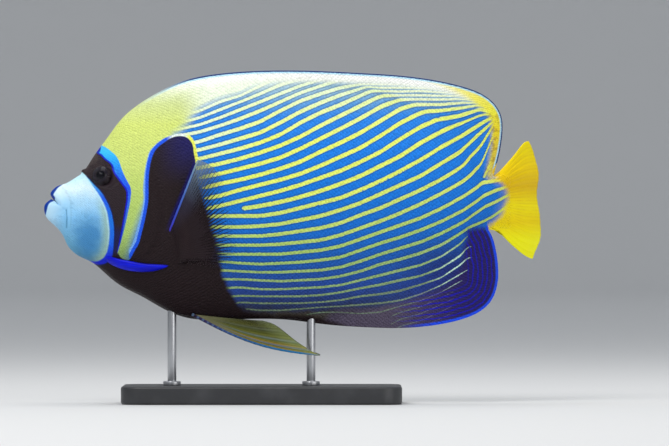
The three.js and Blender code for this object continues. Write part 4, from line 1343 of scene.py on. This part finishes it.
def build_cheek_spine(side, word, material):
    """A long flat thorn lying on the skin, with a low ridge along its middle."""
    steps, around = 49, 20
    t = np.linspace(0, 1, steps)[:, None]
    turn = np.linspace(0, 2 * np.pi, around + 1)[:-1][None, :]
    x, y = spine_line(t)
    tall = spine_height(t * 5) * smooth(t, -0.12, 0.06) * smooth(1.012 - t, 0, 0.05)
    over = np.cos(turn)
    high = np.maximum(np.sin(turn), 0) ** 0.8 * (0.35 + 0.5 * tall)
    under = np.minimum(np.sin(turn), 0) * 0.35
    x, y = np.broadcast_arrays(x, y + over * tall)
    sunk = 1.6 * (1 - smooth(t, 0, 0.2))
    points = place(x, y, side * (surface_at(x, y) + 0.25 + high + under - sunk))
    ends = np.stack([points[0].mean(axis=0), points[-1].mean(axis=0)])
    faces = [tube_quads(steps, around), end_caps(steps, around)]
    piece = make_mesh(f"cheek_thorn_{word}", np.concatenate([points.reshape(-1, 3), ends]), faces)
    face_outward(piece)
    finish_piece(piece, material, "spine_blue", f"cheek_spine_{word}")


def spine_material():
    material, board, shader = new_material("thorn_blue")
    lines = board.noise(board.stretched((60, 60, 900)), 1.0, 3)
    board.feed(shader, {
        "Base Color": board.blend(board.rise(lines, 0.35, 0.7), paint(0, 6, 178), paint(2, 22, 226)),
        "Normal": board.bump(lines, 0.25, 0.2 * MM), "Roughness": 0.36, "Specular IOR Level": 0.18,
    })
    return material


def eye_place(side):
    """The middle of an eye, and the way it looks: square to the head's side there."""
    def plain(row, share):
        return place(*on_sheet(row, share), side * half_thick(row, share))

    row, share, _ = locate(EYE_X, EYE_Y)
    step = 1e-3
    root = plain(row, share)
    across = np.cross(plain(row + step, share) - root, plain(row, share + step) - root)
    centre = place(EYE_X, EYE_Y, side * (surface_at(EYE_X, EYE_Y) - EYE_INSET))
    return Vector(centre), Vector(across * -side).normalized()


def build_eye(side, word, materials):
    """An eyeball with a sunk iris and pupil behind a clear, bulging cornea."""
    centre, look = eye_place(side)
    turn = look.to_track_quat("Z", "Y").to_euler()
    radius = EYE_RADIUS * MM

    def from_axis(vertex):
        return math.hypot(vertex.co.x, vertex.co.y) / radius

    def add_ball(name, size):
        bpy.ops.object.select_all(action="DESELECT")
        bpy.ops.mesh.primitive_uv_sphere_add(
            segments=64, ring_count=48, radius=size * radius, location=centre, rotation=turn,
        )
        piece = bpy.context.object
        piece.name = name
        bpy.ops.object.shade_smooth()
        return piece

    ball = add_ball(f"eyeball_{word}", 0.965)
    for vertex in ball.data.vertices:
        out = from_axis(vertex)
        if vertex.co.z > 0 and out < IRIS + 0.02:
            dish = 0.7 * radius + 0.6 * MM * smooth(out, PUPIL, IRIS - 0.04)
            vertex.co.z = dish if out > PUPIL else dish - 0.7 * MM * (1 - smooth(out, PUPIL - 0.06, PUPIL))
    cornea = add_ball(f"cornea_{word}", 0.995)
    for vertex in cornea.data.vertices:
        if vertex.co.z > 0:
            vertex.co.z += 0.7 * MM * (1 - smooth(from_axis(vertex), 0.0, 0.62))
    for piece in (ball, cornea):
        pick_only(piece)
        fields = {
            "from_pupil": [from_axis(v) if v.co.z > 0 else 1.0 for v in piece.data.vertices],
            "turn": [math.atan2(v.co.y, v.co.x) for v in piece.data.vertices],
        }
        for field, values in fields.items():
            piece.data.attributes.new(field, "FLOAT", "POINT").data.foreach_set("value", values)
        bpy.ops.object.transform_apply(location=True, rotation=True, scale=True)
    finish_piece(ball, materials[0], "eye", f"eye_{word}")
    finish_piece(cornea, materials[1], "eye")


def eye_materials():
    material, board, shader = new_material("eye_iris")
    out = board.field("from_pupil")
    spokes = board.times(board.maths("SINE", board.times(board.field("turn"), 46)), 0.5)
    cloud = board.noise(board.where(), 420, 4)
    iris = board.blend(board.rise(cloud, 0.35, 0.65), paint(34, 31, 44), paint(48, 42, 54))
    iris = board.blend(board.times(board.rise(spokes, 0.1, 0.5), 0.35), iris, paint(30, 26, 40))
    ring = board.blend(board.rise(out, PUPIL + 0.02, PUPIL + 0.04), paint(64, 54, 56), iris)
    colour = board.blend(board.rise(out, PUPIL, PUPIL + 0.012), paint(7, 7, 18), ring)
    colour = board.blend(board.rise(out, IRIS - 0.1, IRIS), colour, paint(40, 32, 38))
    board.feed(shader, {"Base Color": colour, "Roughness": 0.5, "Specular IOR Level": 0.05})
    clear, board, glass = new_material("eye_cornea")
    board.feed(glass, {
        "Base Color": (1, 1, 1, 1), "Roughness": 0.03, "IOR": 1.22, "Transmission Weight": 1.0,
    })
    return material, clear


# Stand, floor, light and camera

def stand_materials():
    black, board, shader = new_material("stand_satin_black")
    peel, dust = board.noise(board.where(), 1400, 2), board.noise(board.where(), 60, 5)
    board.feed(shader, {
        "Base Color": board.blend(board.rise(dust, 0.45, 0.8), paint(46, 47, 50), paint(62, 63, 66)),
        "Roughness": board.node("MapRange", {"Value": dust, "To Min": 0.34, "To Max": 0.5}).outputs[0],
        "Normal": board.bump(peel, 0.12, 0.1 * MM),
    })
    steel, board, shader = new_material("stand_satin_steel")
    drawn = board.noise(board.stretched((2600, 2600, 60)), 1.0, 2)
    board.feed(shader, {
        "Base Color": board.blend(drawn, paint(168, 170, 174), paint(206, 208, 212)),
        "Roughness": board.node("MapRange", {"Value": drawn, "To Min": 0.24, "To Max": 0.4}).outputs[0],
        "Normal": board.bump(drawn, 0.15, 0.04 * MM), "Metallic": 1.0,
    })
    return black, steel


def choose(kind, piece, wanted):
    """Selects the edges or faces of a piece that are wanted, told by the places of their corners."""
    bpy.ops.object.mode_set(mode="EDIT")
    bpy.ops.mesh.select_mode(type=kind)
    bpy.ops.mesh.select_all(action="DESELECT")
    bpy.ops.object.mode_set(mode="OBJECT")
    for part in piece.data.edges if kind == "EDGE" else piece.data.polygons:
        part.select = bool(wanted(*(piece.data.vertices[i].co for i in part.vertices)))
    bpy.ops.object.mode_set(mode="EDIT")


PLINTH_CORNER, PLINTH_BEVEL, PLINTH_RIM = 14 * MM, 1.5 * MM, 0.6 * MM
COLLAR_RADIUS, COLLAR_TALL, COLLAR_MIDDLE = 6 * MM, 3 * MM, 13.4 * MM
SHARP = math.radians(35)


def build_plinth(material):
    low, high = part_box("stand_base")
    size = high - low
    bpy.ops.object.select_all(action="DESELECT")
    bpy.ops.mesh.primitive_cube_add(size=1, location=(low + high) / 2, scale=size)
    base = bpy.context.object
    base.name = "stand_plinth"
    bpy.ops.object.transform_apply(location=True, rotation=True, scale=True)
    choose("EDGE", base, lambda a, b: abs(a.z - b.z) > size.z / 2)
    bpy.ops.mesh.bevel(offset=PLINTH_CORNER, segments=12, affect="EDGES")
    choose("EDGE", base, lambda a, b: min(a.z, b.z) > high.z - 1e-5 or max(a.z, b.z) < low.z + 1e-5)
    bpy.ops.mesh.bevel(offset=PLINTH_BEVEL, segments=4, affect="EDGES")
    choose("FACE", base, lambda *around: min(v.z for v in around) > high.z - 1e-5)
    bpy.ops.mesh.inset(thickness=PLINTH_RIM)
    bpy.ops.object.mode_set(mode="OBJECT")
    bpy.ops.object.shade_smooth_by_angle(angle=SHARP)
    finish_piece(base, material, "stand_black", "stand_base")


def build_round(name, size, middle, sides, rounding, material, *nodes):
    """A steel cylinder of a radius and height, with its edges rounded by a width in a number of steps."""
    bpy.ops.object.select_all(action="DESELECT")
    bpy.ops.mesh.primitive_cylinder_add(vertices=sides, radius=size[0], depth=size[1], location=middle)
    piece = bpy.context.object
    piece.name = name
    bpy.ops.object.transform_apply(location=True, rotation=True, scale=True)
    bpy.ops.object.mode_set(mode="EDIT")
    bpy.ops.mesh.select_all(action="SELECT")
    bpy.ops.mesh.bevel(offset=rounding[0], segments=rounding[1], affect="EDGES")
    bpy.ops.object.mode_set(mode="OBJECT")
    bpy.ops.object.shade_smooth_by_angle(angle=SHARP)
    finish_piece(piece, material, "stand_steel", *nodes)


def build_stand():
    black, steel = stand_materials()
    build_plinth(black)
    for word in ("front", "rear"):
        low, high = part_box(f"stand_rod_{word}")
        middle, size = (low + high) / 2, ((high.x - low.x) / 2, high.z - low.z)
        build_round(f"stand_pin_{word}", size, middle, 48, (0.3 * MM, 2), steel, f"stand_rod_{word}")
        foot = (middle.x, middle.y, COLLAR_MIDDLE)
        build_round(f"stand_collar_{word}", (COLLAR_RADIUS, COLLAR_TALL), foot, 64, (0.7 * MM, 4), steel)


FLOOR_SIDES, FLOOR_DROP = 96, 0.2 * MM
# Each light: name, place, width, power
LIGHTS = (
    ("key", (-0.7, -1.3, 1.5), 1.0, 19), ("fill", (1.4, -1.5, 0.5), 1.4, 10),
    ("top", (0.1, 0.3, 1.7), 1.2, 12),
)
LIGHTS_TO = Vector((0, 0, 0.13))
PICTURE = (669, 446)
CAMERA_FAR, SENSOR = 5, 36


def build_floor():
    """A round pale floor that curves up into a wall."""
    profile = [(0.3, 0), (2, 0), (8, 0)]
    profile += [(8 + 2 * math.sin(a), 2 - 2 * math.cos(a)) for a in np.linspace(0.1, math.pi / 2, 16)]
    profile += [(10, 5.5)]
    turns = np.linspace(0, 2 * np.pi, FLOOR_SIDES + 1)[:-1]
    points = [(r * math.cos(a), r * math.sin(a), z - FLOOR_DROP) for r, z in profile for a in turns]
    rings = len(profile)
    faces = [tube_quads(rings, FLOOR_SIDES), end_caps(rings, FLOOR_SIDES)[:FLOOR_SIDES]]
    floor = make_mesh("floor", points + [(0, 0, -FLOOR_DROP)], faces)
    material, board, shader = new_material("floor_pale")
    board.feed(shader, {"Base Color": paint(214, 215, 216), "Roughness": 0.85, "Specular IOR Level": 0.1})
    floor.data.materials.append(material)


def build_light():
    """A pale sky and three soft lights."""
    world = bpy.data.worlds.new("sky")
    world.use_nodes = True
    sky = world.node_tree.nodes["Background"]
    Board(world.node_tree).feed(sky, {"Color": (0.93, 0.96, 1, 1), "Strength": 0.62})
    bpy.context.scene.world = world
    for name, where, size, power in LIGHTS:
        lamp = bpy.data.lights.new(name, "AREA")
        lamp.energy, lamp.size, lamp.color = power, size, (1, 0.985, 0.96)
        light = bpy.data.objects.new(name, lamp)
        light.location = where
        light.rotation_euler = (LIGHTS_TO - light.location).to_track_quat("-Z", "Y").to_euler()
        bpy.context.scene.collection.objects.link(light)


def build_camera():
    """Square to the fish's left side, far enough back that the outline keeps its drawn shape."""
    lens = bpy.data.cameras.new("camera")
    lens.sensor_width = SENSOR
    lens.lens = SENSOR * CAMERA_FAR / (PICTURE[0] * GRID)
    lens.clip_end = 30
    camera = bpy.data.objects.new("camera", lens)
    camera.location = ((PICTURE[0] / 2 - SHEET_X) * GRID, -CAMERA_FAR, (SHEET_Y - PICTURE[1] / 2) * GRID)
    camera.rotation_euler = (math.pi / 2, 0, 0)
    bpy.context.scene.collection.objects.link(camera)
    bpy.context.scene.camera = camera


FLESH = (
    "head", "upper_jaw", "lower_jaw", "gill_cover_left", "gill_cover_right", "trunk", "tail_base",
    "dorsal_fin", "anal_fin", "caudal_fin",
)


def build_fish():
    group = markings_group()
    finish_piece(build_skin(), fish_finish("fish_skin", group, 0.05), "flank_skin", *FLESH)
    build_scales(fish_finish("fish_scales", group, 0.06))
    pectoral_look = fin_finish("pectoral_membrane", pectoral_paint)
    pelvic_look = fin_finish("pelvic_membrane", pelvic_paint)
    thorn, eyes = spine_material(), eye_materials()
    for side, word in ((LEFT, "left"), (RIGHT, "right")):
        shape = pectoral_at, PECTORAL_RAYS, (0.3, 0.24), 2.6
        fan_fin("pectoral", word, side, *shape, pectoral_look, "side_fin")
        shape = pelvic_at, PELVIC_RAYS, (0.34, 0.16), 3
        fan_fin("pelvic", word, side, *shape, pelvic_look, "belly_fin")
        build_cheek_spine(side, word, thorn)
        build_eye(side, word, eyes)


bpy.context.scene.view_settings.view_transform = "Standard"
build_camera()
build_floor()
build_light()
build_fish()
build_stand()
